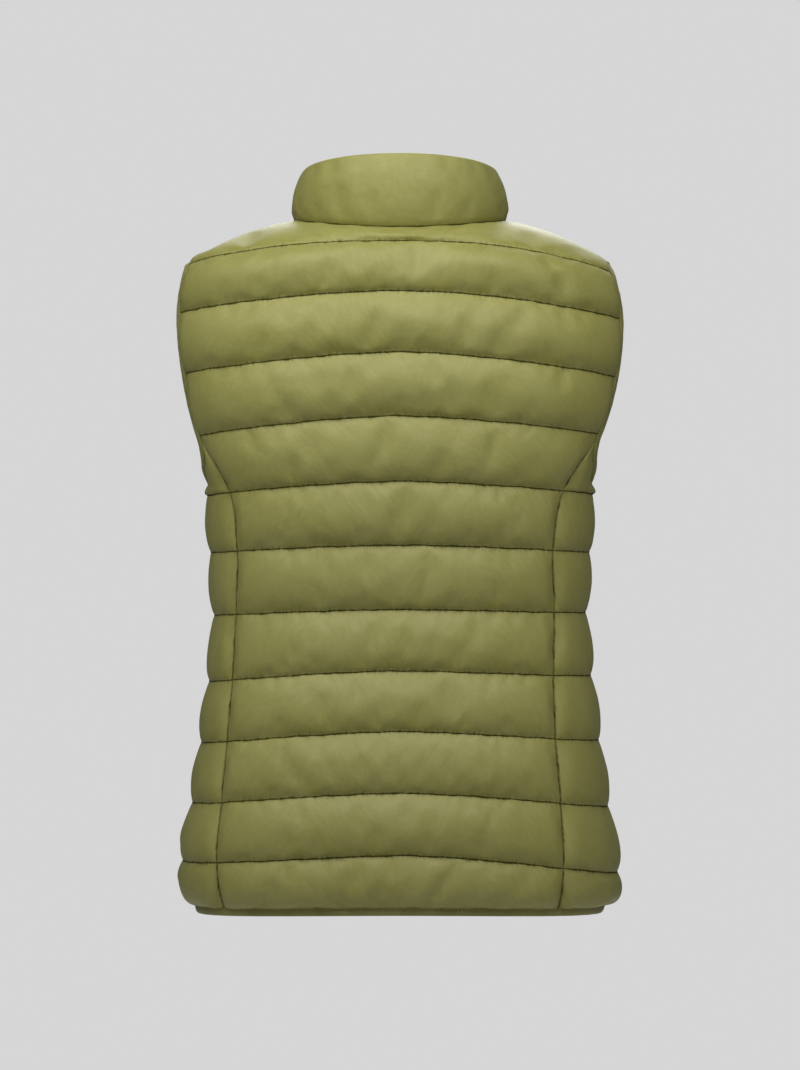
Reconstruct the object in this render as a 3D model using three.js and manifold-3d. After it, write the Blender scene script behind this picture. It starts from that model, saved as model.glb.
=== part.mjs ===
// A sleeveless puffer jacket: a quilted, padded vest with a stand collar and a front zip.
// It keeps the hollow form that it has on its wearer. Neck, armholes and hem are open.
//
// Millimetres. +Z is up, the wearer faces +Y, and the wearer's right side is +X.
// The origin is the middle of the neck, level with the neck ends of the shoulder seams.
//
// A place on the body is given by two numbers. "around" is an angle in degrees: 0 at the centre
// back, 90 at the wearer's right side, -90 at the left side, 180 at the centre front. "level" counts
// the quilting seams downwards: 0 is the neckline and shoulder seam, 12 is the hem seam.

import * as THREE from 'three';
import Module from 'manifold-3d';
import { mergeVertices } from 'three/addons/utils/BufferGeometryUtils.js';

const wasm = await Module();
wasm.setup();

const DEGREE = Math.PI / 180;

// ---------------------------------------------------------------- driving sizes

const WALL = 2.4;            // shell, padding and lining pressed together at a stitched line
const SEAM_GAP = 0.4;        // space between neighbouring pieces
const TOP_GAP = 0.3;         // the walls tilt together under a shoulder seam, so it is wider there
const HEM_LEVEL = 12;

const NECK_HALF_WIDTH = 95;
const NECK_BACK_DEPTH = 78;
const NECK_FRONT_DEPTH = 82;
const NECK_BACK_Z = -9;
const NECK_SIDE_Z = 0.4;
const NECK_FRONT_Z = -62;

const SHOULDER_HALF_WIDTH = 184;
const SHOULDER_FALL = 37.6;  // the tip lies this far below the neck end of the seam
const SHOULDER_LEAN = 2.6;   // the right tip lies this much higher and the left one lower
const SHOULDER_ROUNDING = 1.6;

const COLLAR_TOP_HALF_WIDTH = 84;
const COLLAR_TOP_BACK_DEPTH = 74;
const COLLAR_TOP_BACK_Z = 56;
const COLLAR_TOP_SIDE_Z = 42;
const COLLAR_TOP_FRONT_Z = 6;
const COLLAR_PUFF = 6.5;
const COLLAR_ROLL = 0.9;     // share of a half wave that the collar's padding spans, so its top stays full

const ZIP_OPENING_HALF = 9;  // from the zip's middle to the edge of each front
const UNDERARM_DEPTH = 0.82; // levels that the armhole cuts down into a side panel
const UNDERARM_TUCK = 4.5;   // how far the binding draws the body in under the arm
const EDGE_FADE = 12;        // padding thins out over this distance from an upright seam

const BINDING_WIDTH = 5;
const BINDING_THICKNESS = 4.4;
const HEM_BINDING_WIDTH = 6;

const table = (columns, rows) => rows.map(
  (row) => Object.fromEntries(columns.map((column, i) => [column, row[i]])),
);

// Heights of the quilting seams, one row for each level from 1 to 12.
// "back" is z at the centre back, "drop" how much lower the seam lies at the sides, "bend" the power
// of that curve, "lean" the extra drop towards the right side, and "front" is z at the centre front.
const SEAM_HEIGHTS = table(['back', 'drop', 'bend', 'lean', 'front'], [
  [-23.4, 25, 2.7, 4.2, -74],
  [-67.5, 19.6, 1.7, 3.2, -118],
  [-121.4, 18.8, 1.5, 1.7, -163],
  [-177.4, 16.4, 1.5, -0.6, -206],
  [-234.6, 11.2, 1.5, -0.7, -247],
  [-290.6, 6.8, 1.5, -0.2, -300],
  [-347.2, 5.1, 1.5, -1.2, -355],
  [-401, 9, 1.5, -2.6, -411],
  [-453.9, 12.3, 1.5, -1.1, -467],
  [-507.7, 15, 1.6, 1.5, -521],
  [-561.9, 16.6, 1.5, 5.1, -574],
  [-609.4, 5, 2, 0, -617],
]);

// Horizontal sections of the body at the same seams. "power" is 2 for an ellipse and more for a
// squarer outline.
const SECTIONS = table(['halfWidth', 'backDepth', 'frontDepth', 'power'], [
  [197, 98, 93, 2.0],
  [204, 108, 107, 2.2],
  [199, 112, 119, 2.4],
  [187, 111, 126, 2.5],
  [174, 107, 122, 2.5],
  [171, 101, 112, 2.5],
  [167.5, 97, 106, 2.5],
  [172.3, 100, 108, 2.5],
  [179.2, 107, 112, 2.5],
  [187.4, 113, 115, 2.5],
  [196, 117, 117, 2.5],
  [183.5, 109, 109, 2.4],
]);

// Upright edges of the panels, as distances from the middle, one row for each level from 0 to 12.
// "back" is the back's armhole edge and then its princess seam, "front" the front's armhole edge and
// then its side seam. "shift" is how far both princess seams sit towards the left side.
const PANEL_EDGES = table(['back', 'front', 'shift'], [
  [184, 184, 0],
  [190, 183, 0],
  [197, 177, 0],
  [192.5, 169, 0],
  [178, 163, 1],
  [148, 158, 3],
  [140, 152, 4.5],
  [141.5, 150, 4.5],
  [142.5, 153, 6.5],
  [145.5, 158, 8],
  [150, 164, 8],
  [153, 169, 9],
  [147.5, 161, 8],
]);

// Height of the padding in each quilted row, from the neck down, at the front and back and where
// the body turns at its sides.
const ROW_PUFFS = [4, 6.5, 7, 7, 7, 7, 7, 7, 7, 7, 7, 8.5];
const SIDE_PUFFS = [4, 5, 5, 4, 2.5, 2.4, 2.8, 2.8, 2.8, 2.6, 2.8, 8];

// Where a row is sampled between its upper and its lower seam.
const ROW_STEPS = [0, 0.12, 0.35, 0.65, 0.88];

// Strips between the columns of points on each panel.
const NECK_STRIPS = 7;       // along a quarter of the neckline
const SHOULDER_STRIPS = 6;   // along a shoulder seam
const NEAR_EDGE = 0.026;     // one more column this close to an upright seam
const SIDE_COLUMNS = [0, 0.07, 0.26, 0.5, 0.74, 0.93, 1];

// ---------------------------------------------------------------- small helpers

const vec = (x, y, z) => new THREE.Vector3(x, y, z);
const clamp = (value) => Math.min(1, Math.max(0, value));
const mix = (a, b, t) => a + (b - a) * t;

function smooth(value) {
  const t = clamp(value);
  return t * t * (3 - 2 * t);
}

/** Keeps the results of a function of one number. */
function remembered(compute) {
  const known = new Map();
  return (value) => {
    if (!known.has(value)) known.set(value, compute(value));
    return known.get(value);
  };
}

/** A curve through the values at whole levels, from level 0 to the hem. */
function along(valueAt, level) {
  const i = Math.min(Math.floor(level), HEM_LEVEL - 1);
  const t = level - i;
  const at = (k) => {
    if (k < 0) return 2 * valueAt(0) - valueAt(1);
    if (k > HEM_LEVEL) return 2 * valueAt(HEM_LEVEL) - valueAt(HEM_LEVEL - 1);
    return valueAt(k);
  };
  const [a, b, c, d] = [at(i - 1), at(i), at(i + 1), at(i + 2)];
  const curve = (2 * a - 5 * b + 4 * c - d) * t * t + (3 * b - a - 3 * c + d) * t * t * t;
  return b + 0.5 * ((c - a) * t + curve);
}

// ---------------------------------------------------------------- neckline and shoulder seam

/** A point of the neckline. "turn" is the angle about the neck: 0 at the back, 180 at the front. */
function necklinePoint(turn) {
  const sine = Math.sin(turn * DEGREE);
  const cosine = Math.cos(turn * DEGREE);
  const x = NECK_HALF_WIDTH * sine;
  if (cosine >= 0) {
    return vec(x, -NECK_BACK_DEPTH * cosine, mix(NECK_SIDE_Z, NECK_BACK_Z, cosine ** 2));
  }
  return vec(x, -NECK_FRONT_DEPTH * cosine, mix(NECK_SIDE_Z, NECK_FRONT_Z, (-cosine) ** 1.4));
}

/** The turn about the neck that belongs to an angle around the body. */
function neckTurn(around) {
  const side = Math.abs(around);
  let turn = 90;
  if (side < 45) turn = 2 * side;
  if (side > 135) turn = 2 * side - 180;
  return Math.sign(around) * turn;
}

/** Level 0: the neckline within 45 degrees of the centre back and front, else the shoulder seam. */
function topLine(around) {
  const outward = (45 - Math.abs(Math.abs(around) - 90)) / 45;
  if (outward <= 0) return necklinePoint(neckTurn(around));
  return vec(
    Math.sign(around) * mix(NECK_HALF_WIDTH, SHOULDER_HALF_WIDTH, outward),
    0,
    NECK_SIDE_Z - SHOULDER_FALL * outward ** SHOULDER_ROUNDING
      + Math.sign(around) * SHOULDER_LEAN * outward ** 2,
  );
}

/** The direction of the wall's thickness along level 0, shared by the pieces that meet there. */
function topLineNormal(around) {
  const turn = neckTurn(around) * DEGREE;
  const neck = vec(Math.sin(turn), -Math.cos(turn), 1).normalize();
  const shoulder = vec(Math.sign(around) * 0.28, 0, 1).normalize();
  return neck.lerp(shoulder, smooth((45 - Math.abs(Math.abs(around) - 90)) / 14)).normalize();
}

// ---------------------------------------------------------------- the body's surface

/** A point of the quilting seam at a whole level. */
function seamPoint(around, level) {
  if (level === 0) return topLine(around);
  const section = SECTIONS[level - 1];
  const heights = SEAM_HEIGHTS[level - 1];
  const sine = Math.sin(around * DEGREE);
  const cosine = Math.cos(around * DEGREE);
  const depth = cosine >= 0 ? section.backDepth : section.frontDepth;
  const wide = Math.abs(sine / section.halfWidth) ** section.power;
  const deep = Math.abs(cosine / depth) ** section.power;
  const radius = (wide + deep) ** (-1 / section.power);
  const x = radius * sine;
  const share = Math.abs(x) / section.halfWidth;
  const lean = heights.lean * Math.sign(x) * share ** 2;
  const z = cosine >= 0
    ? heights.back - heights.drop * share ** heights.bend
    : mix(heights.front, heights.back - heights.drop, share ** 2);
  return vec(x, -radius * cosine, z - lean);
}

/** How far the body is drawn in at the sides, just above level 5. */
function underarmTuck(around, level) {
  const near = smooth((level - 4.5) / 0.35) * smooth((5 - level) / 0.18);
  return Math.sign(around) * UNDERARM_TUCK * near * Math.sin(around * DEGREE) ** 8;
}

/** A point on the smooth surface through all the seams. */
function bodyPoint(around, level) {
  const seams = new Map();
  const seam = (k) => {
    if (!seams.has(k)) seams.set(k, seamPoint(around, k));
    return seams.get(k);
  };
  return vec(
    along((k) => seam(k).x, level) - underarmTuck(around, level),
    along((k) => seam(k).y, level),
    along((k) => seam(k).z, level),
  );
}

/** The outward direction of the body's surface. */
function bodyNormal(around, level) {
  const side = Math.sign(around) || 1;
  const inward = Math.abs(around) <= 90 ? -side : side;
  const sideways = bodyPoint(around + inward, level).sub(bodyPoint(around, level));
  const upper = bodyPoint(around, Math.max(0, level - 0.02));
  const lower = bodyPoint(around, Math.min(HEM_LEVEL, level + 0.02));
  const normal = lower.sub(upper).cross(sideways).multiplyScalar(inward).normalize();
  return topLineNormal(around).lerp(normal, smooth(level / 0.5)).normalize();
}

/** The angle at which the surface is a given distance from the middle, in the back or front half. */
function aroundAtWidth(width, level, inFront) {
  let [low, high] = inFront ? [180, 90] : [0, 90];
  for (let i = 0; i < 24; i += 1) {
    const middle = (low + high) / 2;
    if (bodyPoint(middle, level).x < width) low = middle;
    else high = middle;
  }
  return (low + high) / 2;
}

/** Half of the seam gap, as an angle around the body. */
function gapAngle(around, level) {
  const point = bodyPoint(around, level);
  return SEAM_GAP / 2 / Math.hypot(point.x, point.y) / DEGREE;
}

/** Angle of a back edge: the armhole above level 4, the princess seam below it. */
function backEdge(level, side) {
  const width = along((k) => PANEL_EDGES[k].back, level);
  const shift = along((k) => PANEL_EDGES[k].shift, level);
  return side * aroundAtWidth(width - side * shift, level, false);
}

/** Angle of a front's outer edge: the armhole above level 4, the side seam below it. */
function frontEdge(level, side) {
  return side * aroundAtWidth(along((k) => PANEL_EDGES[k].front, level), level, true);
}

/** Angle of a front's zip edge. */
function zipEdge(level, side) {
  return side * aroundAtWidth(ZIP_OPENING_HALF, level, true);
}

// ---------------------------------------------------------------- meshes from points

/** Collects points and triangles, and turns them into a closed geometry that faces out. */
class Shell {
  constructor() {
    this.points = [];
    this.triangles = [];
  }

  add(point) {
    this.points.push(point);
    return this.points.length - 1;
  }

  triangle(a, b, c) {
    this.triangles.push([a, b, c]);
  }

  quad(a, b, c, d) {
    this.triangle(a, b, c);
    this.triangle(a, c, d);
  }

  /** Faces between two rows of the same number of points. */
  strip(first, second, closed = false) {
    const count = closed ? first.length : first.length - 1;
    for (let i = 0; i < count; i += 1) {
      const next = (i + 1) % first.length;
      this.quad(first[i], first[next], second[next], second[i]);
    }
  }

  geometry() {
    let volume = 0;
    for (const [a, b, c] of this.triangles) {
      const cross = vec(0, 0, 0).crossVectors(this.points[b], this.points[c]);
      volume += this.points[a].dot(cross);
    }
    const faces = volume > 0 ? this.triangles : this.triangles.map(([a, b, c]) => [a, c, b]);
    const geometry = new THREE.BufferGeometry();
    const positions = this.points.flatMap((point) => point.toArray());
    geometry.setAttribute('position', new THREE.Float32BufferAttribute(positions, 3));
    geometry.setIndex(faces.flat());
    geometry.computeVertexNormals();
    return geometry;
  }
}

/**
 * A padded wall from two grids of points, each a list of rings from top to bottom. The plain inside
 * uses one ring in "steps", and all of them only along its two upright edges.
 */
function wallGeometry(outer, inner, steps) {
  const shell = new Shell();
  const last = outer[0].length - 1;
  const outside = outer.map((ring) => ring.map((point) => shell.add(point)));
  const inside = inner.map((ring, r) => ring.map((point, column) => (
    r % steps === 0 || column === 0 || column === last ? shell.add(point) : null
  )));
  for (let r = 0; r + 1 < outside.length; r += 1) {
    shell.strip(outside[r], outside[r + 1]);
    shell.quad(outside[r][0], outside[r + 1][0], inside[r + 1][0], inside[r][0]);
    shell.quad(outside[r + 1][last], outside[r][last], inside[r][last], inside[r + 1][last]);
  }
  const half = Math.floor(steps / 2);
  for (let upper = 0; upper + steps < inside.length; upper += steps) {
    const lower = upper + steps;
    shell.strip(inside[lower].slice(1, -1), inside[upper].slice(1, -1));
    for (let step = 0; step < steps; step += 1) {
      const r = upper + step;
      const ring = inside[step <= half ? upper : lower];
      shell.triangle(inside[r + 1][0], ring[1], inside[r][0]);
      shell.triangle(ring[last - 1], inside[r + 1][last], inside[r][last]);
    }
    const turn = inside[upper + half + 1];
    shell.triangle(inside[lower][1], inside[upper][1], turn[0]);
    shell.triangle(inside[lower][last - 1], turn[last], inside[upper][last - 1]);
  }
  shell.strip(inside[0], outside[0]);
  shell.strip(outside.at(-1), inside.at(-1));
  return shell.geometry();
}

// ---------------------------------------------------------------- quilted panels

/** How far the padding lifts the shell, from 0 at the seams to 1 in the middle of a row. */
const rise = (t) => Math.sin(Math.PI * t) ** 0.6;

/**
 * A quilted panel between two upright edges, from its first level to the hem.
 * It keeps the points of its edges, because the bindings are made from them.
 */
function quiltedPanel({ columns, firstEdge, lastEdge, firstLevel, startLevel }) {
  const from = remembered(firstEdge);
  const to = remembered(lastEdge);
  const levels = [];
  for (let row = firstLevel; row < HEM_LEVEL; row += 1) {
    for (const step of ROW_STEPS) levels.push({ row, step });
  }
  levels.push({ row: HEM_LEVEL - 1, step: 1 });

  const edges = [];
  const outer = [];
  const inner = [];
  for (const { row, step } of levels) {
    const bases = columns.map((column) => {
      const level = mix(row === firstLevel ? startLevel(column) : row, row + 1, step);
      const [first, last] = [from(level), to(level)];
      const way = Math.sign(last - first);
      const start = first + way * gapAngle(first, level);
      const around = mix(start, last - way * gapAngle(last, level), column);
      return { point: bodyPoint(around, level), normal: bodyNormal(around, level), around };
    });
    edges.push(bases);
    const width = bases[0].point.distanceTo(bases.at(-1).point);
    outer.push(bases.map(({ point, normal, around }, i) => {
      const toEdge = Math.min(columns[i], 1 - columns[i]) * width;
      const fade = clamp(toEdge / EDGE_FADE) ** 0.6;
      const height = mix(ROW_PUFFS[row], SIDE_PUFFS[row], Math.sin(around * DEGREE) ** 4);
      const lift = height * rise(step) * fade;
      return point.clone().addScaledVector(normal, lift);
    }));
    inner.push(bases.map(({ point, normal }) => point.clone().addScaledVector(normal, -WALL)));
  }
  return { geometry: wallGeometry(outer, inner, ROW_STEPS.length), edges };
}

/** The level at which a panel starts, just below the neckline or the shoulder seam. */
function belowTopLine(around) {
  return TOP_GAP / seamPoint(around, 0).distanceTo(seamPoint(around, 1));
}

/** Adds a column close to each end of a list that runs from 0 to 1. */
function withNearEdges(columns) {
  return [0, NEAR_EDGE, ...columns.slice(1, -1), 1 - NEAR_EDGE, 1];
}

function backPanel() {
  const quarter = [];
  for (let i = 0; i < NECK_STRIPS; i += 1) quarter.push(0.25 * i / NECK_STRIPS);
  for (let i = 0; i <= SHOULDER_STRIPS; i += 1) quarter.push(0.25 + 0.25 * i / SHOULDER_STRIPS);
  const rightHalf = quarter.map((value) => 0.5 + value);
  const leftHalf = quarter.slice(1).reverse().map((value) => 0.5 - value);
  return quiltedPanel({
    columns: withNearEdges([...leftHalf, ...rightHalf]),
    firstEdge: (level) => backEdge(level, -1),
    lastEdge: (level) => backEdge(level, 1),
    firstLevel: 0,
    startLevel: (column) => belowTopLine(mix(-90, 90, column)),
  });
}

/** Columns of a front from its outer edge to the zip, with one at the neck end of the shoulder. */
function frontColumns() {
  const neckColumn = 45 / (zipEdge(0, 1) - 90);
  const columns = [];
  for (let i = 0; i < SHOULDER_STRIPS; i += 1) columns.push(neckColumn * i / SHOULDER_STRIPS);
  for (let i = 0; i <= NECK_STRIPS; i += 1) columns.push(mix(neckColumn, 1, i / NECK_STRIPS));
  return withNearEdges(columns);
}

function frontPanel(side) {
  return quiltedPanel({
    columns: frontColumns(),
    firstEdge: (level) => frontEdge(level, side),
    lastEdge: (level) => zipEdge(level, side),
    firstLevel: 0,
    startLevel: (column) => belowTopLine(side * mix(90, zipEdge(0, 1), column)),
  });
}

function sidePanel(side) {
  return quiltedPanel({
    columns: SIDE_COLUMNS,
    firstEdge: (level) => backEdge(level, side),
    lastEdge: (level) => frontEdge(level, side),
    firstLevel: 4,
    startLevel: (column) => 4 + UNDERARM_DEPTH * Math.sin(Math.PI * column) ** 0.7,
  });
}

// ---------------------------------------------------------------- collar

/** A point of the collar's top edge. */
function collarTopPoint(turn) {
  const sine = Math.sin(turn * DEGREE);
  const cosine = Math.cos(turn * DEGREE);
  const x = Math.sign(sine) * Math.max(COLLAR_TOP_HALF_WIDTH * Math.abs(sine), ZIP_OPENING_HALF);
  if (cosine >= 0) {
    const z = mix(COLLAR_TOP_SIDE_Z, COLLAR_TOP_BACK_Z, cosine ** 0.75);
    return vec(Math.abs(sine) < 1e-6 ? 0 : x, -COLLAR_TOP_BACK_DEPTH * cosine, z);
  }
  const z = mix(COLLAR_TOP_SIDE_Z, COLLAR_TOP_FRONT_Z, (-cosine) ** 1.3);
  return vec(x, -NECK_FRONT_DEPTH * cosine, z);
}

/** The turns about the neck at which the fronts and the back have their columns. */
function collarTurns(back, front) {
  const turnOf = ({ around }) => neckTurn(around);
  const onNeck = ({ around }) => Math.abs(Math.abs(around) - 90) > 45 - 0.3;
  const backTurns = back.edges[0].filter(onNeck).map(turnOf);
  const frontTurns = front.edges[0].filter(onNeck).map(turnOf).slice(1);
  return [...frontTurns.map((turn) => -turn).reverse(), ...backTurns, ...frontTurns];
}

function collar(back, front) {
  const turns = collarTurns(back, front);
  const steps = [...ROW_STEPS, 1];
  const wallPoint = (turn, step, lift) => {
    const base = necklinePoint(turn);
    const top = collarTopPoint(turn);
    const startStep = SEAM_GAP / 2 / base.distanceTo(top);
    const share = mix(startStep, 1, step);
    const outward = vec(Math.sin(turn * DEGREE), -Math.cos(turn * DEGREE), 0);
    const seamward = outward.clone().setZ(1).normalize();
    const normal = seamward.lerp(outward, smooth(step / 0.3)).normalize();
    return base.lerp(top, share).addScaledVector(normal, lift);
  };
  const outer = steps.map((step) => turns.map((turn, i) => {
    const toZip = Math.min(i, turns.length - 1 - i) === 0 ? 0 : 1;
    return wallPoint(turn, step, COLLAR_PUFF * Math.sin(Math.PI * COLLAR_ROLL * step) ** 0.6 * toZip);
  }));
  const inner = steps.map((step) => turns.map((turn) => wallPoint(turn, step, -WALL)));
  return wallGeometry(outer, inner, ROW_STEPS.length);
}

// ---------------------------------------------------------------- bindings

/**
 * A rounded strip along an edge of the wall. Each sample has the edge's point and the wall's normal,
 * and the strip lies on the side of the edge where "target" is.
 */
function edgeStrip(samples, target, width, closed) {
  const corners = [];
  for (let i = 0; i < 8; i += 1) corners.push((i + 0.5) * Math.PI / 4);
  const shell = new Shell();
  const rings = samples.map(({ point, normal }, i) => {
    const last = samples.length - 1;
    const before = samples[closed ? (i + last) % samples.length : Math.max(0, i - 1)].point;
    const after = samples[closed ? (i + 1) % samples.length : Math.min(last, i + 1)].point;
    const outward = after.clone().sub(before).cross(normal).normalize();
    if (outward.dot(target.clone().sub(point)) < 0) outward.negate();
    const middle = point.clone()
      .addScaledVector(normal, -WALL / 2)
      .addScaledVector(outward, SEAM_GAP + width / 2);
    const reach = 1 / Math.cos(Math.PI / 8);
    return corners.map((angle) => shell.add(middle.clone()
      .addScaledVector(outward, reach * Math.cos(angle) * width / 2)
      .addScaledVector(normal, reach * Math.sin(angle) * BINDING_THICKNESS / 2)));
  });
  for (let i = 0; i + 1 < rings.length; i += 1) shell.strip(rings[i], rings[i + 1], true);
  if (closed) {
    shell.strip(rings.at(-1), rings[0], true);
  } else {
    for (const ring of [rings[0].slice().reverse(), rings.at(-1)]) {
      for (let i = 1; i + 1 < ring.length; i += 1) shell.triangle(ring[0], ring[i], ring[i + 1]);
    }
  }
  return shell.geometry();
}

/** Binds the loop of the back's, the front's and the side panel's armhole edges. */
function armholeBinding(side, back, front, sidePiece) {
  const armholeRings = 4 * ROW_STEPS.length + 1;
  const backColumn = side > 0 ? back.edges[0].length - 1 : 0;
  const upBack = back.edges.slice(0, armholeRings).map((ring) => ring[backColumn]).reverse();
  const downFront = front.edges.slice(0, armholeRings).map((ring) => ring[0]);
  const underarm = sidePiece.edges[0].slice(1, -1).reverse();
  const samples = [...upBack, ...downFront.slice(1), ...underarm];
  return edgeStrip(samples, vec(side * 176, 8, -140), BINDING_WIDTH, true);
}

/** Binds the hem, from one edge of the zip round the back to the other. */
function hemBinding(back, left, right) {
  const hem = ({ edges }) => edges.at(-1);
  const samples = [
    ...hem(left.front).slice().reverse(),
    ...hem(left.side).slice(1, -1).reverse(),
    ...hem(back),
    ...hem(right.side).slice(1, -1),
    ...hem(right.front),
  ];
  return edgeStrip(samples, vec(0, 0, -1e5), HEM_BINDING_WIDTH, false);
}

// ---------------------------------------------------------------- zip

const CHAIN_HALF_WIDTH = 3;
const CHAIN_THICKNESS = 2.2;
const TAPE_THICKNESS = 1.2;
const TAPE_INNER = CHAIN_HALF_WIDTH + SEAM_GAP;
const TAPE_OUTER = ZIP_OPENING_HALF - SEAM_GAP;
const BOX_HEIGHT = 9;
const BOX_THICKNESS = 4;

const SLIDER_TOP_Z = COLLAR_TOP_FRONT_Z - 4;
const SLIDER_HEIGHT = 13;
const SLIDER_TOP_HALF = 4.4;
const SLIDER_FOOT_HALF = 3.4;
const SLIDER_PLATE = 1.1;
const SLIDER_GAP = CHAIN_THICKNESS + 0.6;
const WEDGE_HEIGHT = 3;
const WEDGE_HALF = 1.6;

const RING_HOLE = 1.55;      // the pull tab's bar turns in this hole
const RING_RADIUS = 2.75;
const RING_WIDTH = 2.2;
const RING_Z = SLIDER_TOP_Z - 4.5;
const RING_STANDOFF = 1.9;   // from the slider's front face to the middle of the hole
const TAB_THICKNESS = 1.6;
const TAB_HALF_WIDTH = 3.4;
const TAB_LENGTH = 27;
const TAB_BAR = 0.8;         // half the height of the bar
const TAB_SLOT_HALF = 1.65;
const TAB_SLOT_END = 3.7;

const ZIP_PLANE_Y = NECK_FRONT_DEPTH - WALL / 2;
const SLIDER_FACE_Y = ZIP_PLANE_Y + SLIDER_GAP / 2 + SLIDER_PLATE;
const HINGE = vec(0, SLIDER_FACE_Y + RING_STANDOFF, RING_Z);

/** The zip's line on the outside of the front, from the hem up, between two heights. */
function zipLine(fromZ, toZ) {
  const line = [];
  for (let level = HEM_LEVEL; level >= 0; level -= 0.5) line.push(bodyPoint(180, level));
  const foot = line[0].clone().setZ(line[0].z - HEM_BINDING_WIDTH - SEAM_GAP);
  const top = vec(0, NECK_FRONT_DEPTH, COLLAR_TOP_FRONT_Z);
  const whole = [foot, ...line, top];
  const heightOf = (point, lower, upper) => (point - lower.z) / (upper.z - lower.z);
  const cut = [];
  for (let i = 0; i + 1 < whole.length; i += 1) {
    const [lower, upper] = [whole[i], whole[i + 1]];
    if (upper.z <= fromZ || lower.z >= toZ) continue;
    if (cut.length === 0) {
      cut.push(lower.clone().lerp(upper, clamp(heightOf(fromZ, lower, upper))));
    }
    cut.push(lower.clone().lerp(upper, clamp(heightOf(toZ, lower, upper))));
  }
  return cut;
}

/** A flat strip in the middle of the wall along the zip's line, between two distances from x = 0. */
function zipStrip(line, firstX, lastX, thickness) {
  const shell = new Shell();
  const rings = line.map((point, i) => {
    const before = line[Math.max(0, i - 1)];
    const after = line[Math.min(line.length - 1, i + 1)];
    const way = after.clone().sub(before).setX(0).normalize();
    const normal = vec(0, way.z, -way.y);
    const corner = (x, offset) => shell.add(
      point.clone().setX(x).addScaledVector(normal, offset - WALL / 2),
    );
    return [
      corner(firstX, -thickness / 2),
      corner(lastX, -thickness / 2),
      corner(lastX, thickness / 2),
      corner(firstX, thickness / 2),
    ];
  });
  for (let i = 0; i + 1 < rings.length; i += 1) shell.strip(rings[i], rings[i + 1], true);
  shell.quad(...rings[0].slice().reverse());
  shell.quad(...rings.at(-1));
  return shell.geometry();
}

/** An outline in x and z, given thickness along y and centred on a y. */
function plate(outline, thickness, middleY) {
  const geometry = new THREE.ExtrudeGeometry(outline, { depth: thickness, bevelEnabled: false });
  geometry.rotateX(Math.PI / 2);
  return geometry.translate(0, middleY + thickness / 2, 0);
}

/** A closed outline with straight sides through the given corners. */
function outlineOf(corners) {
  return new THREE.Shape(corners.map(([x, z]) => new THREE.Vector2(x, z)));
}

function solidOf(geometry) {
  const bare = geometry.clone();
  bare.deleteAttribute('normal');
  bare.deleteAttribute('uv');
  const merged = mergeVertices(bare, 1e-4);
  return new wasm.Manifold(new wasm.Mesh({
    numProp: 3,
    vertProperties: new Float32Array(merged.attributes.position.array),
    triVerts: new Uint32Array(merged.index.array),
  }));
}

function geometryOf(solid) {
  const mesh = solid.getMesh();
  const geometry = new THREE.BufferGeometry();
  geometry.setAttribute('position', new THREE.Float32BufferAttribute(mesh.vertProperties, 3));
  geometry.setIndex([...mesh.triVerts]);
  geometry.computeVertexNormals();
  return geometry;
}

/** Two plates around the chain, joined by a wedge at the top, with a ring on the front plate. */
function slider() {
  const foot = SLIDER_TOP_Z - SLIDER_HEIGHT;
  const shoulder = SLIDER_TOP_Z - 0.35 * SLIDER_HEIGHT;
  const outline = outlineOf([
    [-SLIDER_FOOT_HALF, foot], [SLIDER_FOOT_HALF, foot],
    [SLIDER_TOP_HALF, shoulder], [SLIDER_TOP_HALF - 0.8, SLIDER_TOP_Z - 0.8],
    [SLIDER_TOP_HALF - 2.4, SLIDER_TOP_Z], [2.4 - SLIDER_TOP_HALF, SLIDER_TOP_Z],
    [0.8 - SLIDER_TOP_HALF, SLIDER_TOP_Z - 0.8], [-SLIDER_TOP_HALF, shoulder],
  ]);
  const offset = (SLIDER_GAP + SLIDER_PLATE) / 2;
  const wedge = new THREE.BoxGeometry(2 * WEDGE_HALF, SLIDER_GAP + SLIDER_PLATE, WEDGE_HEIGHT);
  wedge.translate(0, ZIP_PLANE_Y, SLIDER_TOP_Z - WEDGE_HEIGHT / 2 - 0.2);
  const circle = new THREE.Shape().absarc(0, 0, RING_RADIUS, 0, 2 * Math.PI);
  circle.holes.push(new THREE.Path().absarc(0, 0, RING_HOLE, 0, 2 * Math.PI));
  const ring = new THREE.ExtrudeGeometry(circle, {
    depth: RING_WIDTH, bevelEnabled: false, curveSegments: 9,
  });
  ring.translate(0, 0, -RING_WIDTH / 2).rotateY(Math.PI / 2);
  ring.translate(HINGE.x, HINGE.y, HINGE.z);
  const solid = solidOf(plate(outline, SLIDER_PLATE, ZIP_PLANE_Y + offset))
    .add(solidOf(plate(outline, SLIDER_PLATE, ZIP_PLANE_Y - offset)))
    .add(solidOf(wedge))
    .add(solidOf(ring));
  return geometryOf(solid);
}

/** The pull tab hangs from a bar in the slider's ring. */
function pullTab() {
  const top = HINGE.z + TAB_BAR;
  const foot = HINGE.z - TAB_LENGTH;
  const outline = outlineOf([
    [-TAB_HALF_WIDTH, top], [-TAB_HALF_WIDTH, foot + 1.5], [1.5 - TAB_HALF_WIDTH, foot],
    [TAB_HALF_WIDTH - 1.5, foot], [TAB_HALF_WIDTH, foot + 1.5], [TAB_HALF_WIDTH, top],
  ]);
  const slotTop = HINGE.z - TAB_BAR;
  const slotFoot = HINGE.z - TAB_SLOT_END;
  outline.holes.push(outlineOf([
    [-TAB_SLOT_HALF, slotTop], [TAB_SLOT_HALF, slotTop],
    [TAB_SLOT_HALF, slotFoot], [-TAB_SLOT_HALF, slotFoot],
  ]));
  return plate(outline, TAB_THICKNESS, HINGE.y);
}

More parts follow.
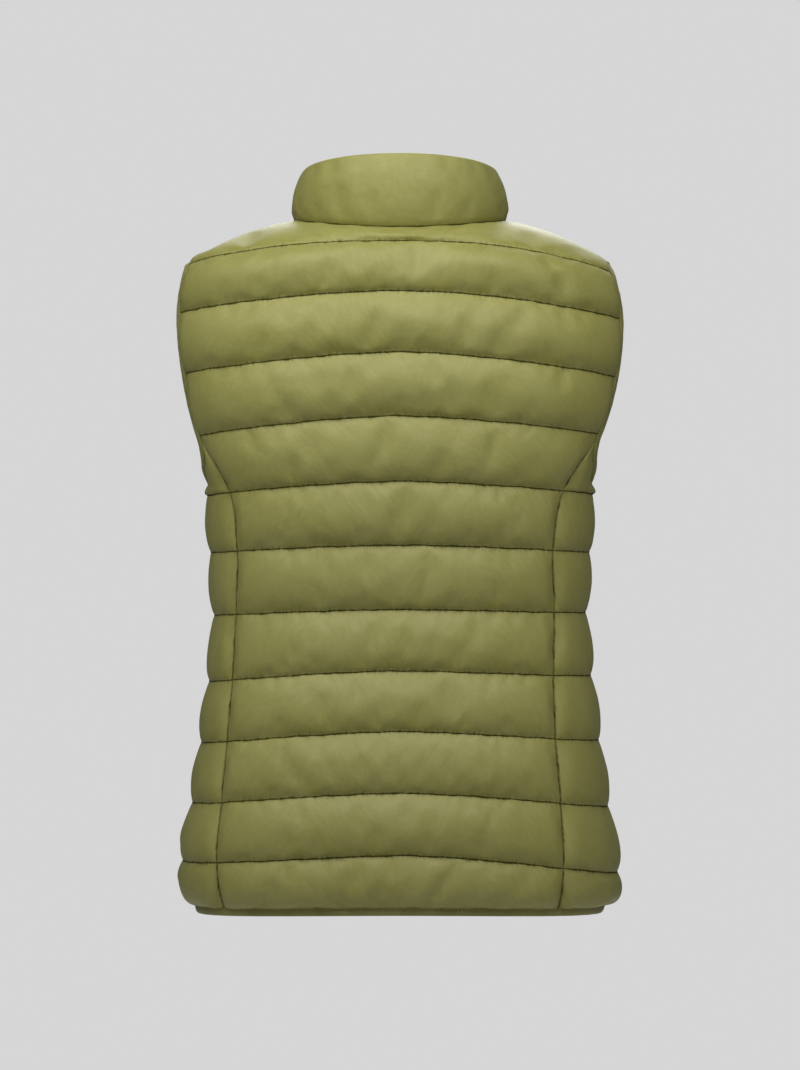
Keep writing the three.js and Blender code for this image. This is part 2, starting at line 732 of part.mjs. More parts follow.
/** The small box that closes the zip's lower end. */
function bottomBox() {
  const hem = bodyPoint(180, HEM_LEVEL);
  const foot = hem.z - HEM_BINDING_WIDTH - SEAM_GAP;
  const box = new THREE.BoxGeometry(2 * CHAIN_HALF_WIDTH, BOX_THICKNESS, BOX_HEIGHT);
  return box.translate(0, hem.y - WALL / 2, foot + BOX_HEIGHT / 2);
}

// ---------------------------------------------------------------- the garment

const nylon = { color: 0x7d7c47, roughness: 0.5, metalness: 0 };
const trim = { color: 0x6c6b3a, roughness: 0.6, metalness: 0 };
const tapeCloth = { color: 0x5f5e33, roughness: 0.8, metalness: 0 };
const moulded = { color: 0x55542d, roughness: 0.45, metalness: 0 };
const coated = { color: 0x4c4b2b, roughness: 0.35, metalness: 0.6 };

const garment = new THREE.Group();

function addPiece(name, geometry, finish) {
  const mesh = new THREE.Mesh(geometry, new THREE.MeshStandardMaterial(finish));
  mesh.name = name;
  garment.add(mesh);
}

const back = backPanel();
const right = { front: frontPanel(1), side: sidePanel(1) };
const left = { front: frontPanel(-1), side: sidePanel(-1) };

addPiece('back_panel', back.geometry, nylon);
addPiece('side_panel_right', right.side.geometry, nylon);
addPiece('side_panel_left', left.side.geometry, nylon);
addPiece('front_panel_right', right.front.geometry, nylon);
addPiece('front_panel_left', left.front.geometry, nylon);
addPiece('collar', collar(back, right.front), nylon);

addPiece('armhole_binding_right', armholeBinding(1, back, right.front, right.side), trim);
addPiece('armhole_binding_left', armholeBinding(-1, back, left.front, left.side), trim);
addPiece('hem_binding', hemBinding(back, left, right), trim);

const hemFoot = bodyPoint(180, HEM_LEVEL).z - HEM_BINDING_WIDTH - SEAM_GAP;
const tapeLine = zipLine(hemFoot, COLLAR_TOP_FRONT_Z - 1);
const chainLine = zipLine(hemFoot + BOX_HEIGHT + SEAM_GAP, SLIDER_TOP_Z - WEDGE_HEIGHT - 0.5);
addPiece('zip_tape_right', zipStrip(tapeLine, TAPE_INNER, TAPE_OUTER, TAPE_THICKNESS), tapeCloth);
addPiece('zip_tape_left', zipStrip(tapeLine, -TAPE_OUTER, -TAPE_INNER, TAPE_THICKNESS), tapeCloth);
addPiece('zip_chain',
  zipStrip(chainLine, -CHAIN_HALF_WIDTH, CHAIN_HALF_WIDTH, CHAIN_THICKNESS), moulded);
addPiece('zip_bottom_box', bottomBox(), moulded);
addPiece('zip_slider', slider(), coated);
addPiece('zip_pull_tab', pullTab(), coated);

export default garment;
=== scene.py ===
"""Dresses a packed sleeveless puffer jacket: shell, padding, bindings, sewing and zip.

Metres. +Z is up, the wearer faces +Y, and the wearer's right side is +X. A place on the body is given
by "around", an angle in degrees from the centre back towards the right side, and by "level", which
counts the quilting seams downwards from the neckline and the shoulder seams, 0, to the hem seam, 12.
"""

import math

import bmesh
import bpy
import numpy as np
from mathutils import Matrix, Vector


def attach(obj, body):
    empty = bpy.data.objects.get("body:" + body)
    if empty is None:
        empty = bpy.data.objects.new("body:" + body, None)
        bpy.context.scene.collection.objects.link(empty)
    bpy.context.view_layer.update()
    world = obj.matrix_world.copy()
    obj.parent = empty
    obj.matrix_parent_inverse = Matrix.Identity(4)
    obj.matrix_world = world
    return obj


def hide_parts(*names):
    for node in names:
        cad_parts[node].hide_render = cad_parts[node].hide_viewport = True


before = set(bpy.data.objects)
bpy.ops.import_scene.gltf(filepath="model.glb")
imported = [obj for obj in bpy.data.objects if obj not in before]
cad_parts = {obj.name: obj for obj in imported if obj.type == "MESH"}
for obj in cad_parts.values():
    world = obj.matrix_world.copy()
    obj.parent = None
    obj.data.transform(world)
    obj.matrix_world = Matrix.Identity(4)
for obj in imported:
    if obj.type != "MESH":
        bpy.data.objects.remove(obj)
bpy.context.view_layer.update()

bl_info = {
    "name": "Sleeveless Puffer Jacket",
    "version": (1, 0, 0),
    "blender": (4, 5, 0),
    "location": "3D View > Sidebar > Puffer",
    "description": "Makes the shell, padding, bindings, sewing and zip of a sleeveless puffer jacket",
    "category": "Object",
}

# ------------------------------------------------------------------ cut of the garment

HEM_LEVEL = 12
ARMHOLE_LEVEL = 4            # the princess and side seams start at this level
NECK_SHARE = 45.0            # degrees of level 0 on each side that belong to the neckline
NECK_BLEND = 14.0            # degrees over which the neckline's slope turns into the shoulder's

NECK_HALF_WIDTH = 0.095
NECK_BACK_DEPTH = 0.078
NECK_FRONT_DEPTH = 0.082
NECK_BACK_Z = -0.009
NECK_SIDE_Z = 0.0004
NECK_FRONT_Z = -0.062
SHOULDER_HALF_WIDTH = 0.184
SHOULDER_FALL = 0.0376
SHOULDER_LEAN = 0.0026        # the right tip lies this much higher and the left one lower
SHOULDER_ROUNDING = 1.6
COLLAR_TOP_HALF_WIDTH = 0.084
COLLAR_TOP_BACK_DEPTH = 0.074
COLLAR_TOP_BACK_Z = 0.056
COLLAR_TOP_SIDE_Z = 0.042
COLLAR_TOP_FRONT_Z = 0.006
ZIP_OPENING_HALF = 0.009
UNDERARM_DEPTH = 0.82
UNDERARM_TUCK = 0.0045       # how far the binding draws the body in under the arm
UNDERARM_FROM, UNDERARM_TO = 4.5, 5  # levels between which it does so
SEWN_WALL = 0.0024           # shell, padding and lining pressed together at a seam
SEAM_GAP = 0.0004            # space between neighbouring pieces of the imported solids


def table(names, rows):
    """A table with named columns, as arrays."""
    return dict(zip(names, np.array(rows, float).T))


# One row for each level from 1 to 12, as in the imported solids.
SEAM_HEIGHTS = table(("back", "drop", "bend", "lean", "front"), [
    (-0.0234, 0.025, 2.7, 0.0042, -0.074),
    (-0.0675, 0.0196, 1.7, 0.0032, -0.118),
    (-0.1214, 0.0188, 1.5, 0.0017, -0.163),
    (-0.1774, 0.0164, 1.5, -0.0006, -0.206),
    (-0.2346, 0.0112, 1.5, -0.0007, -0.247),
    (-0.2906, 0.0068, 1.5, -0.0002, -0.3),
    (-0.3472, 0.0051, 1.5, -0.0012, -0.355),
    (-0.401, 0.009, 1.5, -0.0026, -0.411),
    (-0.4539, 0.0123, 1.5, -0.0011, -0.467),
    (-0.5077, 0.015, 1.6, 0.0015, -0.521),
    (-0.5619, 0.0166, 1.5, 0.0051, -0.574),
    (-0.6094, 0.005, 2.0, 0.0, -0.617),
])
SECTIONS = table(("half_width", "back_depth", "front_depth", "power"), [
    (0.197, 0.098, 0.093, 2.0),
    (0.204, 0.108, 0.107, 2.2),
    (0.199, 0.112, 0.119, 2.4),
    (0.187, 0.111, 0.126, 2.5),
    (0.174, 0.107, 0.122, 2.5),
    (0.171, 0.101, 0.112, 2.5),
    (0.1675, 0.097, 0.106, 2.5),
    (0.1723, 0.100, 0.108, 2.5),
    (0.1792, 0.107, 0.112, 2.5),
    (0.1874, 0.113, 0.115, 2.5),
    (0.196, 0.117, 0.117, 2.5),
    (0.1835, 0.109, 0.109, 2.4),
])
# One row for each level from 0 to 12.
PANEL_EDGES = table(("back", "front", "shift"), [
    (0.184, 0.184, 0.0),
    (0.190, 0.183, 0.0),
    (0.197, 0.177, 0.0),
    (0.1925, 0.169, 0.0),
    (0.178, 0.163, 0.001),
    (0.148, 0.158, 0.003),
    (0.140, 0.152, 0.0045),
    (0.1415, 0.150, 0.0045),
    (0.1425, 0.153, 0.0065),
    (0.1455, 0.158, 0.008),
    (0.150, 0.164, 0.008),
    (0.153, 0.169, 0.009),
    (0.1475, 0.161, 0.008),
])
ROW_PUFFS = np.array([4, 6.5, 7, 7, 7, 7, 7, 7, 7, 7, 7, 8.5]) / 1000
SIDE_PUFFS = np.array([4, 5, 5, 4, 2.5, 2.4, 2.8, 2.8, 2.8, 2.6, 2.8, 8]) / 1000


def smooth(value):
    t = np.clip(value, 0, 1)
    return t * t * (3 - 2 * t)


def mix(a, b, t):
    return a + (b - a) * t


def unit(vectors):
    return vectors / np.linalg.norm(vectors, axis=-1, keepdims=True)


def arc_lengths(points, axis):
    """Distance walked along lines of points, from 0 at the first point of each."""
    steps = np.linalg.norm(np.diff(points, axis=axis), axis=-1)
    walked = np.cumsum(steps, axis=axis)
    start = np.zeros_like(np.take(walked, [0], axis=axis))
    return np.concatenate([start, walked], axis=axis)


def at_stops(stops, walked, points):
    """Points of a line at the given distances along it."""
    return np.stack([np.interp(stops, walked, points[:, k]) for k in range(3)], -1)


def neck_turn(around):
    """The turn about the neck, in degrees, that belongs to an angle around the body."""
    side = np.abs(around)
    turn = np.where(side < NECK_SHARE, 2 * side, np.where(side > 135, 2 * side - 180, 90.0))
    return np.sign(around) * turn


def neckline_points(turn):
    sine, cosine = np.sin(np.radians(turn)), np.cos(np.radians(turn))
    behind = cosine >= 0
    depth = np.where(behind, NECK_BACK_DEPTH, NECK_FRONT_DEPTH)
    far = np.where(behind, NECK_BACK_Z, NECK_FRONT_Z)
    share = np.abs(cosine) ** np.where(behind, 2.0, 1.4)
    return np.stack([NECK_HALF_WIDTH * sine, -depth * cosine, mix(NECK_SIDE_Z, far, share)], -1)


def top_line(around):
    """Level 0: the neckline, and between it the shoulder seams."""
    outward = (NECK_SHARE - np.abs(np.abs(around) - 90)) / NECK_SHARE
    on_shoulder = np.clip(outward, 0, None)
    shoulder = np.stack([
        np.sign(around) * mix(NECK_HALF_WIDTH, SHOULDER_HALF_WIDTH, on_shoulder),
        np.zeros_like(around),
        NECK_SIDE_Z - SHOULDER_FALL * on_shoulder ** SHOULDER_ROUNDING
        + np.sign(around) * SHOULDER_LEAN * on_shoulder ** 2,
    ], -1)
    return np.where((outward > 0)[:, None], shoulder, neckline_points(neck_turn(around)))


def top_line_normals(around):
    turn = np.radians(neck_turn(around))
    neck = unit(np.stack([np.sin(turn), -np.cos(turn), np.ones_like(turn)], -1))
    shoulder = np.stack([np.sign(around) * 0.28, np.zeros_like(turn), np.ones_like(turn)], -1)
    share = smooth((NECK_SHARE - np.abs(np.abs(around) - 90)) / NECK_BLEND)[:, None]
    return unit(mix(neck, unit(shoulder), share))


def seam_points(around):
    """Points of all the seams, from level 0 to the hem, at the given angles."""
    sine, cosine = np.sin(np.radians(around)), np.cos(np.radians(around))
    behind = cosine >= 0
    rings = [top_line(around)]
    for k in range(HEM_LEVEL):
        half_width, power = SECTIONS["half_width"][k], SECTIONS["power"][k]
        depth = np.where(behind, SECTIONS["back_depth"][k], SECTIONS["front_depth"][k])
        radius = (np.abs(sine / half_width) ** power + np.abs(cosine / depth) ** power) ** (-1 / power)
        x = radius * sine
        share = np.abs(x) / half_width
        back, drop = SEAM_HEIGHTS["back"][k], SEAM_HEIGHTS["drop"][k]
        z_behind = back - drop * share ** SEAM_HEIGHTS["bend"][k]
        z_in_front = mix(SEAM_HEIGHTS["front"][k], back - drop, share ** 2)
        lean = SEAM_HEIGHTS["lean"][k] * np.sign(x) * share ** 2
        rings.append(np.stack([x, -radius * cosine, np.where(behind, z_behind, z_in_front) - lean], -1))
    return np.stack(rings)


def through(values, level):
    """Smooth curves through values at whole levels. The first axis of values is the level."""
    ends = [2 * values[:1] - values[1:2], values, 2 * values[-1:] - values[-2:-1]]
    padded = np.concatenate(ends)
    i = np.clip(np.floor(level).astype(int), 0, HEM_LEVEL - 1)
    rows = np.arange(values.shape[1]) if values.ndim > 1 else None
    pick = (lambda k: padded[i + k, rows]) if rows is not None else (lambda k: padded[i + k])
    a, b, c, d = pick(0), pick(1), pick(2), pick(3)
    t = (level - i)[:, None] if values.ndim > 2 else level - i
    curve = (2 * a - 5 * b + 4 * c - d) * t ** 2 + (3 * b - a - 3 * c + d) * t ** 3
    return b + 0.5 * ((c - a) * t + curve)


def body_points(around, level):
    points = through(seam_points(around), level)
    near = smooth((level - UNDERARM_FROM) / 0.35) * smooth((UNDERARM_TO - level) / 0.18)
    tuck = UNDERARM_TUCK * near * np.sin(np.radians(around)) ** 8
    points[..., 0] -= np.sign(around) * tuck
    return points


def body_normals(around, level):
    side = np.where(around < 0, -1.0, 1.0)
    inward = np.where(np.abs(around) <= 90, -side, side)
    sideways = body_points(around + inward, level) - body_points(around, level)
    upper = body_points(around, np.clip(level - 0.02, 0, None))
    lower = body_points(around, np.clip(level + 0.02, None, HEM_LEVEL))
    normal = unit(np.cross(lower - upper, sideways) * inward[:, None])
    return unit(mix(top_line_normals(around), normal, smooth(level / 0.5)[:, None]))


def around_at_width(width, level, in_front):
    """Angles at which the surface is a given distance from the middle."""
    low = np.full_like(level, 180.0 if in_front else 0.0)
    high = np.full_like(level, 90.0)
    for _ in range(24):
        middle = (low + high) / 2
        inside = body_points(middle, level)[:, 0] < width
        low, high = np.where(inside, middle, low), np.where(inside, high, middle)
    return (low + high) / 2


EDGE_LEVELS = np.linspace(0, HEM_LEVEL, 481)


def edge_angles(name, side):
    """Angles of a panel's edge at EDGE_LEVELS: "back", "front" or "zip", on the right, 1, or left, -1."""
    if name == "zip":
        return side * around_at_width(ZIP_OPENING_HALF, EDGE_LEVELS, True)
    width = through(PANEL_EDGES[name], EDGE_LEVELS)
    if name == "back":
        width = width - side * through(PANEL_EDGES["shift"], EDGE_LEVELS)
    return side * around_at_width(width, EDGE_LEVELS, name == "front")


# ------------------------------------------------------------------ sizes and colours a user may change

def length(name, description, default, **more):
    return bpy.props.FloatProperty(
        name=name, description=description, default=default, unit="LENGTH", precision=5, **more)


def number(name, description, default, **more):
    return bpy.props.FloatProperty(name=name, description=description, default=default, **more)


def colour(name, description, default):
    return bpy.props.FloatVectorProperty(
        name=name, description=description, default=default, size=3, subtype="COLOR", min=0, max=1)


class PaddingSizes(bpy.types.PropertyGroup):
    wall: length("Sewn thickness", "Shell, padding and lining pressed together at a seam", SEWN_WALL)
    seam_gap: length("Seam gap", "Space between the pieces; below 0, they close up when rounded", -0.0006)
    valley: length("Seam depth", "How far the thread pulls the shell in", 0.0011)
    grid: length("Grid", "Spacing of the shell's points along a row", 0.0052)
    row_points: bpy.props.IntProperty(
        name="Row points", description="Points down each quilted row", default=13, min=6)
    edge_fade: length("Edge fade", "Padding thins out this close to an upright seam", 0.010)
    unevenness: number("Unevenness", "How much the filling varies along a row", 0.13)
    seam_wander: length("Seam wander", "How far a quilting seam strays from its line", 0.0004)
    pressure: number("Pressure", "Push of the padding on the shell", 1.4)
    ease: number("Ease", "Share by which the shell is cut larger than its seams", 0.008)
    most_move: length("Most movement", "Cap on how far the padding may push a point", 0.006)
    collar_puff: length("Collar padding", "Height of the collar's padding", 0.0065)
    seed: bpy.props.IntProperty(name="Seed", description="Start of the random draws", default=11)


class FinishColours(bpy.types.PropertyGroup):
    shell: colour("Shell", "Nylon in plain light", (0.300, 0.289, 0.085))
    # Darker nylon, used both for the random mottle and as painted shade on the lower part of each quilted
    # row, under the row above.
    shell_tone_and_shade: colour("Shell, deep", "Nylon where the filling is thin", (0.240, 0.230, 0.044))
    lining: colour("Lining", "Taffeta on the inside", (0.170, 0.165, 0.052))
    binding: colour("Binding", "Elastic binding", (0.250, 0.240, 0.058))
    thread: colour("Thread", "Sewing thread", (0.036, 0.031, 0.002))
    tape: colour("Tape", "Zip tape", (0.165, 0.158, 0.045))
    teeth: colour("Teeth", "Moulded zip teeth", (0.105, 0.104, 0.038))
    metal: colour("Metal", "Lacquered slider and pull tab", (0.090, 0.090, 0.036))
    bare_metal: colour("Bare metal", "Zinc where the lacquer is worn", (0.42, 0.41, 0.38))


# ------------------------------------------------------------------ small mesh tools

def settings():
    return bpy.context.scene


def deselect_all():
    if bpy.context.object and bpy.context.object.mode != "OBJECT":
        bpy.ops.object.mode_set(mode="OBJECT")
    bpy.ops.object.select_all(action="DESELECT")


def activate(piece):
    deselect_all()
    piece.select_set(True)
    bpy.context.view_layer.objects.active = piece


def new_piece(name, points, faces):
    mesh = bpy.data.meshes.new(name)
    mesh.from_pydata([tuple(point) for point in points], [], faces)
    piece = bpy.data.objects.new(name, mesh)
    bpy.context.collection.objects.link(piece)
    return piece


def mesh_points(piece):
    values = np.empty(len(piece.data.vertices) * 3)
    piece.data.vertices.foreach_get("co", values)
    return values.reshape(-1, 3)


def shade_smooth(piece):
    piece.data.polygons.foreach_set("use_smooth", [True] * len(piece.data.polygons))
    piece.data.update()


def point_attribute(piece, name, values):
    attribute = piece.data.attributes.new(name, "FLOAT", "POINT")
    attribute.data.foreach_set("value", np.asarray(values, np.float32))


def point_uv(piece, uv):
    """Gives the piece a UV map from one pair of values, in metres, for each of its points."""
    layer = piece.data.uv_layers.new(name="Cloth")
    corners = np.empty(len(piece.data.loops), int)
    piece.data.loops.foreach_get("vertex_index", corners)
    layer.data.foreach_set("uv", np.asarray(uv, np.float32)[corners].ravel())


# ------------------------------------------------------------------ quilted panels

def row_steps(count):
    """Places down a quilted row, closer together near its seams."""
    even = np.arange(count) / count
    return mix(even, 0.5 * (1 - np.cos(np.pi * even)), 0.6)


def even_columns(knots, first_angle, last_angle, level, spacing):
    """Shares across a panel, evenly spaced between the given knots, with one more near each end."""
    fine = np.linspace(0, 1, 801)
    ring = body_points(mix(first_angle, last_angle, fine), np.full_like(fine, level))
    walked = arc_lengths(ring, 0)
    columns = [0.0]
    for low, high in zip(knots, knots[1:]):
        start, end = np.interp([low, high], fine, walked)
        count = max(2, round((end - start) / spacing))
        columns += list(np.interp(np.linspace(start, end, count + 1)[1:], walked, fine))
    near = 0.35 * columns[1]
    return np.array([0.0, near, *columns[1:-1], 1 - near, 1.0])


class Waves:
    """Seeded soft unevenness: sums of sines along the rows, one set for each row or seam."""

    def __init__(self, seed, rows, wavelengths):
        draws = np.random.RandomState(seed)
        self.phases = draws.uniform(0, 2 * np.pi, (rows, len(wavelengths)))
        self.rates = 360.0 / np.array(wavelengths) * draws.uniform(0.8, 1.25, (rows, len(wavelengths)))
        self.weights = draws.uniform(0.5, 1.0, (rows, len(wavelengths)))

    def at(self, row, around):
        angle = np.radians(around)[..., None] * self.rates[row] + self.phases[row]
        return (np.sin(angle) * self.weights[row]).sum(-1) / self.weights[row].sum(-1)


class Panel:
    """The grid of a quilted panel: rings from its top to the hem, columns from edge to edge."""

    def __init__(self, name, first_edge, last_edge, first_level, knots, start_level):
        sizes = settings().puffer_padding
        self.name = name
        middle_level = 3.0 if first_level == 0 else 8.0
        first_angle, last_angle = (
            np.interp(middle_level, EDGE_LEVELS, edge) for edge in (first_edge, last_edge))
        self.columns = even_columns(knots, first_angle, last_angle, middle_level, sizes.grid)
        rows = [(row, step) for row in range(first_level, HEM_LEVEL)
                for step in row_steps(sizes.row_points)] + [(HEM_LEVEL - 1, 1.0)]
        self.row = np.array([row for row, _ in rows])
        self.step = np.array([step for _, step in rows])
        start = np.where((self.row == first_level)[:, None], start_level(self.columns), self.row[:, None])
        level = mix(start, self.row[:, None] + 1.0, self.step[:, None])
        first = np.interp(level, EDGE_LEVELS, first_edge)
        last = np.interp(level, EDGE_LEVELS, last_edge)
        way = np.sign(last - first)
        reach = np.linalg.norm(self.surface(first, level)[..., :2], axis=-1)
        gap = way * np.degrees(sizes.seam_gap / 2 / reach)
        self.around = mix(first + gap, last - gap, self.columns)
        self.level = level + self.seam_wander(sizes)
        self.points = self.surface(self.around, self.level)
        self.normals = self.surface(self.around, self.level, body_normals)
        self.across = arc_lengths(self.points, 1)
        self.down = arc_lengths(self.points, 0)
        self.to_edge = np.minimum(self.across, self.across[:, -1:] - self.across)
        self.to_seam = self.distance_to_seam(len(row_steps(sizes.row_points)))
        self.facing = way[0, 0]

    def surface(self, around, level, kind=body_points):
        return kind(around.ravel(), level.ravel()).reshape(*around.shape, 3)

    def seam_wander(self, sizes):
        """Small strays of the quilting seams, in levels, the same on both sides of an upright seam."""
        waves = Waves(sizes.seed, HEM_LEVEL + 1, (26, 14, 7))
        amount = sizes.seam_wander / 0.057
        strays = np.stack([waves.at(row, self.around) * amount for row in range(HEM_LEVEL + 1)])
        strays[0] = 0
        strays[HEM_LEVEL] = 0
        rings = np.arange(len(self.row))
        upper, lower = strays[self.row, rings], strays[self.row + 1, rings]
        fixed = (self.row == self.row[0])[:, None] & (self.row[0] > 0)
        return np.where(fixed, lower * self.step[:, None], mix(upper, lower, self.step[:, None]))

    def distance_to_seam(self, per_row):
        """Distance of each point from the nearer quilting seam above or below it."""
        tops = np.minimum((np.arange(len(self.row)) // per_row) * per_row, len(self.row) - 1 - per_row)
        above = self.down - self.down[tops]
        below = self.down[tops + per_row] - self.down
        return np.minimum(above, below)

    def seam_rings(self):
        """The rings that are quilting seams inside the panel."""
        return [i for i in range(1, len(self.row)) if self.step[i] == 0]

    def lift(self):
        """Height of the shell above the plain surface before the padding settles."""
        sizes = settings().puffer_padding
        sag = np.where(self.row == HEM_LEVEL - 1, 1.5, 1.25)[:, None]
        fullness = np.where(self.row == HEM_LEVEL - 1, 0.5, 0.6)[:, None]
        dome = np.sin(np.pi * self.step[:, None] ** sag).clip(0) ** fullness
        fade = np.clip(self.to_edge / sizes.edge_fade, 0, 1) ** 0.6
        waves = Waves(sizes.seed + 1, HEM_LEVEL, (48, 23, 13))
        slants = np.random.RandomState(sizes.seed + 7).uniform(-16, 16, HEM_LEVEL)
        uneven = np.stack([waves.at(row, self.around[i] + slants[row] * self.step[i])
                           for i, row in enumerate(self.row)])
        height = mix(ROW_PUFFS[self.row][:, None], SIDE_PUFFS[self.row][:, None],
                     np.sin(np.radians(self.around)) ** 4) * (1 + sizes.unevenness * uneven)
        plain = height * dome * fade - sizes.valley * (1 - dome * fade)
        return plain + self.shoulder_ease(dome) * fade

    def shoulder_ease(self, dome):
        """The first quilting seam is shallow, most of all where it runs over the shoulder."""
        beside = np.exp(-((self.level - 1) / 0.5) ** 2) * (self.level > 0)
        outward = smooth((0.075 - self.to_edge) / 0.05) * (np.abs(self.around) > 30)
        return beside * (1 - dome) * (0.0009 + 0.0026 * outward)

    def sewn(self):
        """True where the shell is held: on the quilting seams and the panel's borders."""
        held = np.zeros(self.level.shape, bool)
        held[self.seam_rings()] = True
        held[[0, -1]] = True
        held[:, [0, -1]] = True
        return held


SHOULDER_OVERLAP = 0.0005    # back and fronts reach this far past the shoulder seam to close it


def top_start(first_angle, last_angle):
    """The level at which a panel starts along its top, for each share across it."""
    def start(columns):
        rings = seam_points(mix(first_angle, last_angle, columns))
        return -SHOULDER_OVERLAP / np.linalg.norm(rings[1] - rings[0], axis=1)
    return start


def make_panels():
    """All the quilted panels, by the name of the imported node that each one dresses."""
    zip_right, front_right, back_right = (edge_angles(name, 1) for name in ("zip", "front", "back"))
    zip_left, front_left, back_left = (edge_angles(name, -1) for name in ("zip", "front", "back"))
    top_end = zip_right[0]
    neck_column = NECK_SHARE / (top_end - 90)

    def underarm(columns):
        return ARMHOLE_LEVEL + UNDERARM_DEPTH * np.sin(np.pi * columns).clip(0) ** 0.7

    return {panel.name: panel for panel in (
        Panel("back_panel", back_left, back_right, 0, (0, 0.25, 0.5, 0.75, 1),
              top_start(-90.0, 90.0)),
        Panel("front_panel_right", front_right, zip_right, 0, (0, neck_column, 1),
              top_start(90.0, top_end)),
        Panel("front_panel_left", front_left, zip_left, 0, (0, neck_column, 1),
              top_start(-90.0, -top_end)),
        Panel("side_panel_right", back_right, front_right, ARMHOLE_LEVEL, (0, 1), underarm),
        Panel("side_panel_left", back_left, front_left, ARMHOLE_LEVEL, (0, 1), underarm),
    )}


def grid_faces(rings, columns, offset=0):
    corner = offset + np.arange(rings - 1)[:, None] * columns + np.arange(columns - 1)
    faces = np.stack([corner, corner + 1, corner + columns + 1, corner + columns], -1)
    return faces.reshape(-1, 4)


SETTLING_FRAMES = 20


def shell_sheet(name, start, held, facing):
    """An open sheet for the cloth simulation, with its held points in a vertex group."""
    rings, columns = held.shape
    faces = grid_faces(rings, columns)
    if facing > 0:
        faces = faces[:, ::-1]
    sheet = new_piece(name + "_sheet", start.reshape(-1, 3), faces.tolist())
    group = sheet.vertex_groups.new(name="sewn")
    group.add([int(i) for i in np.flatnonzero(held)], 1.0, "REPLACE")
    return sheet


def settle(sheets):
    """Lets the padding push the sheets out between their seams, and returns their settled points."""
    sizes = settings().puffer_padding
    scene = bpy.context.scene
    for sheet in sheets:
        cloth = sheet.modifiers.new("Padding", "CLOTH")
        given = cloth.settings
        given.quality = 5
        given.mass = 0.12
        given.tension_stiffness = 15
        given.compression_stiffness = 15
        given.shear_stiffness = 6
        given.bending_stiffness = 2.0
        given.vertex_group_mass = "sewn"
        given.use_pressure = True
        given.uniform_pressure_force = sizes.pressure
        given.shrink_min = -sizes.ease
        given.effector_weights.gravity = 0
        given.effector_weights.all = 0
        cloth.point_cache.frame_start = 1
        cloth.point_cache.frame_end = SETTLING_FRAMES
    for step in range(1, SETTLING_FRAMES + 1):
        scene.frame_set(step)
    for sheet in sheets:
        activate(sheet)
        bpy.ops.object.modifier_apply(modifier="Padding")
    scene.frame_set(1)
    return [mesh_points(sheet) for sheet in sheets]


def puffed(grids):
    """Settled shell points for each (name, start points, held mask, facing)."""
    sizes = settings().puffer_padding
    starts = [grid[1] for grid in grids]
    sheets = [shell_sheet(*grid) for grid in grids]
    results = []
    for start, settled, sheet in zip(starts, settle(sheets), sheets):
        moved = settled.reshape(start.shape) - start
        far = np.linalg.norm(moved, axis=-1, keepdims=True)
        results.append(start + moved * np.minimum(1, sizes.most_move / np.maximum(far, 1e-9)))
        bpy.data.objects.remove(sheet)
    return results


def coarse_cells(rings, columns, ring_stride, column_stride):
    """Cells of a coarse grid whose outer cells keep every point of the border, as lists of (r, c)."""
    ring_stops = sorted({*range(0, rings - 1, ring_stride), rings - 1})
    column_stops = sorted({*range(0, columns - 1, column_stride), columns - 1})
    cells = []
    for r0, r1 in zip(ring_stops, ring_stops[1:]):
        for c0, c1 in zip(column_stops, column_stops[1:]):
            along_top = range(c0, c1) if r0 == 0 else [c0]
            along_right = range(r0, r1) if c1 == columns - 1 else [r0]
            along_foot = range(c1, c0, -1) if r1 == rings - 1 else [c1]
            along_left = range(r1, r0, -1) if c0 == 0 else [r1]
            cells.append([(r0, c) for c in along_top] + [(r, c1) for r in along_right]
                         + [(r1, c) for c in along_foot] + [(r, c0) for r in along_left])
    return cells


def closed_wall(name, outer, inner, facing, uv, attributes, ring_stride, column_stride):
    """A closed padded wall: a fine outside, a coarse inside, and narrow faces along the border."""
    rings, columns = outer.shape[:2]
    cells = coarse_cells(rings, columns, ring_stride, column_stride)
    border = ([(0, c) for c in range(columns - 1)] + [(r, columns - 1) for r in range(rings - 1)]
              + [(rings - 1, c) for c in range(columns - 1, 0, -1)]
              + [(r, 0) for r in range(rings - 1, 0, -1)])
    wanted = sorted({place for cell in cells for place in cell} | set(border))
    index = {place: rings * columns + i for i, place in enumerate(wanted)}
    rows, cols = np.array(wanted).T
    points = np.concatenate([outer.reshape(-1, 3), inner[rows, cols]])
    faces = grid_faces(rings, columns).tolist()
    inside = [[index[place] for place in reversed(cell)] for cell in cells]
    rim = [[r0 * columns + c0, index[(r0, c0)], index[(r1, c1)], r1 * columns + c1]
           for (r0, c0), (r1, c1) in zip(border, border[1:] + border[:1])]
    every = faces + rim + inside
    if facing > 0:
        every = [list(reversed(face)) for face in every]
    wall = new_piece(name, points, every)
    order = np.zeros(len(every), int)
    order[len(faces):] = 1
    wall.data.polygons.foreach_set("material_index", order)
    point_uv(wall, np.concatenate([uv.reshape(-1, 2), uv[rows, cols]]))
    for key, values in attributes.items():
        point_attribute(wall, key, np.concatenate([values.ravel(), values[rows, cols]]))
    finer = wall.modifiers.new("Finer", "SUBSURF")
    finer.levels = finer.render_levels = 1
    shade_smooth(wall)
    return wall


def finish_wall(wall, name, material):
    """Applies the wall's subdivision, gives it its materials, hangs it on the garment body and hides the
    imported solid that it dresses.
    """
    activate(wall)
    bpy.ops.object.modifier_apply(modifier="Finer")
    wall.data.materials.append(material)
    wall.data.materials.append(bpy.data.materials["Lining taffeta"])
    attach(wall, "garment")
    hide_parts(name)
    deselect_all()
    return wall


# ------------------------------------------------------------------ collar

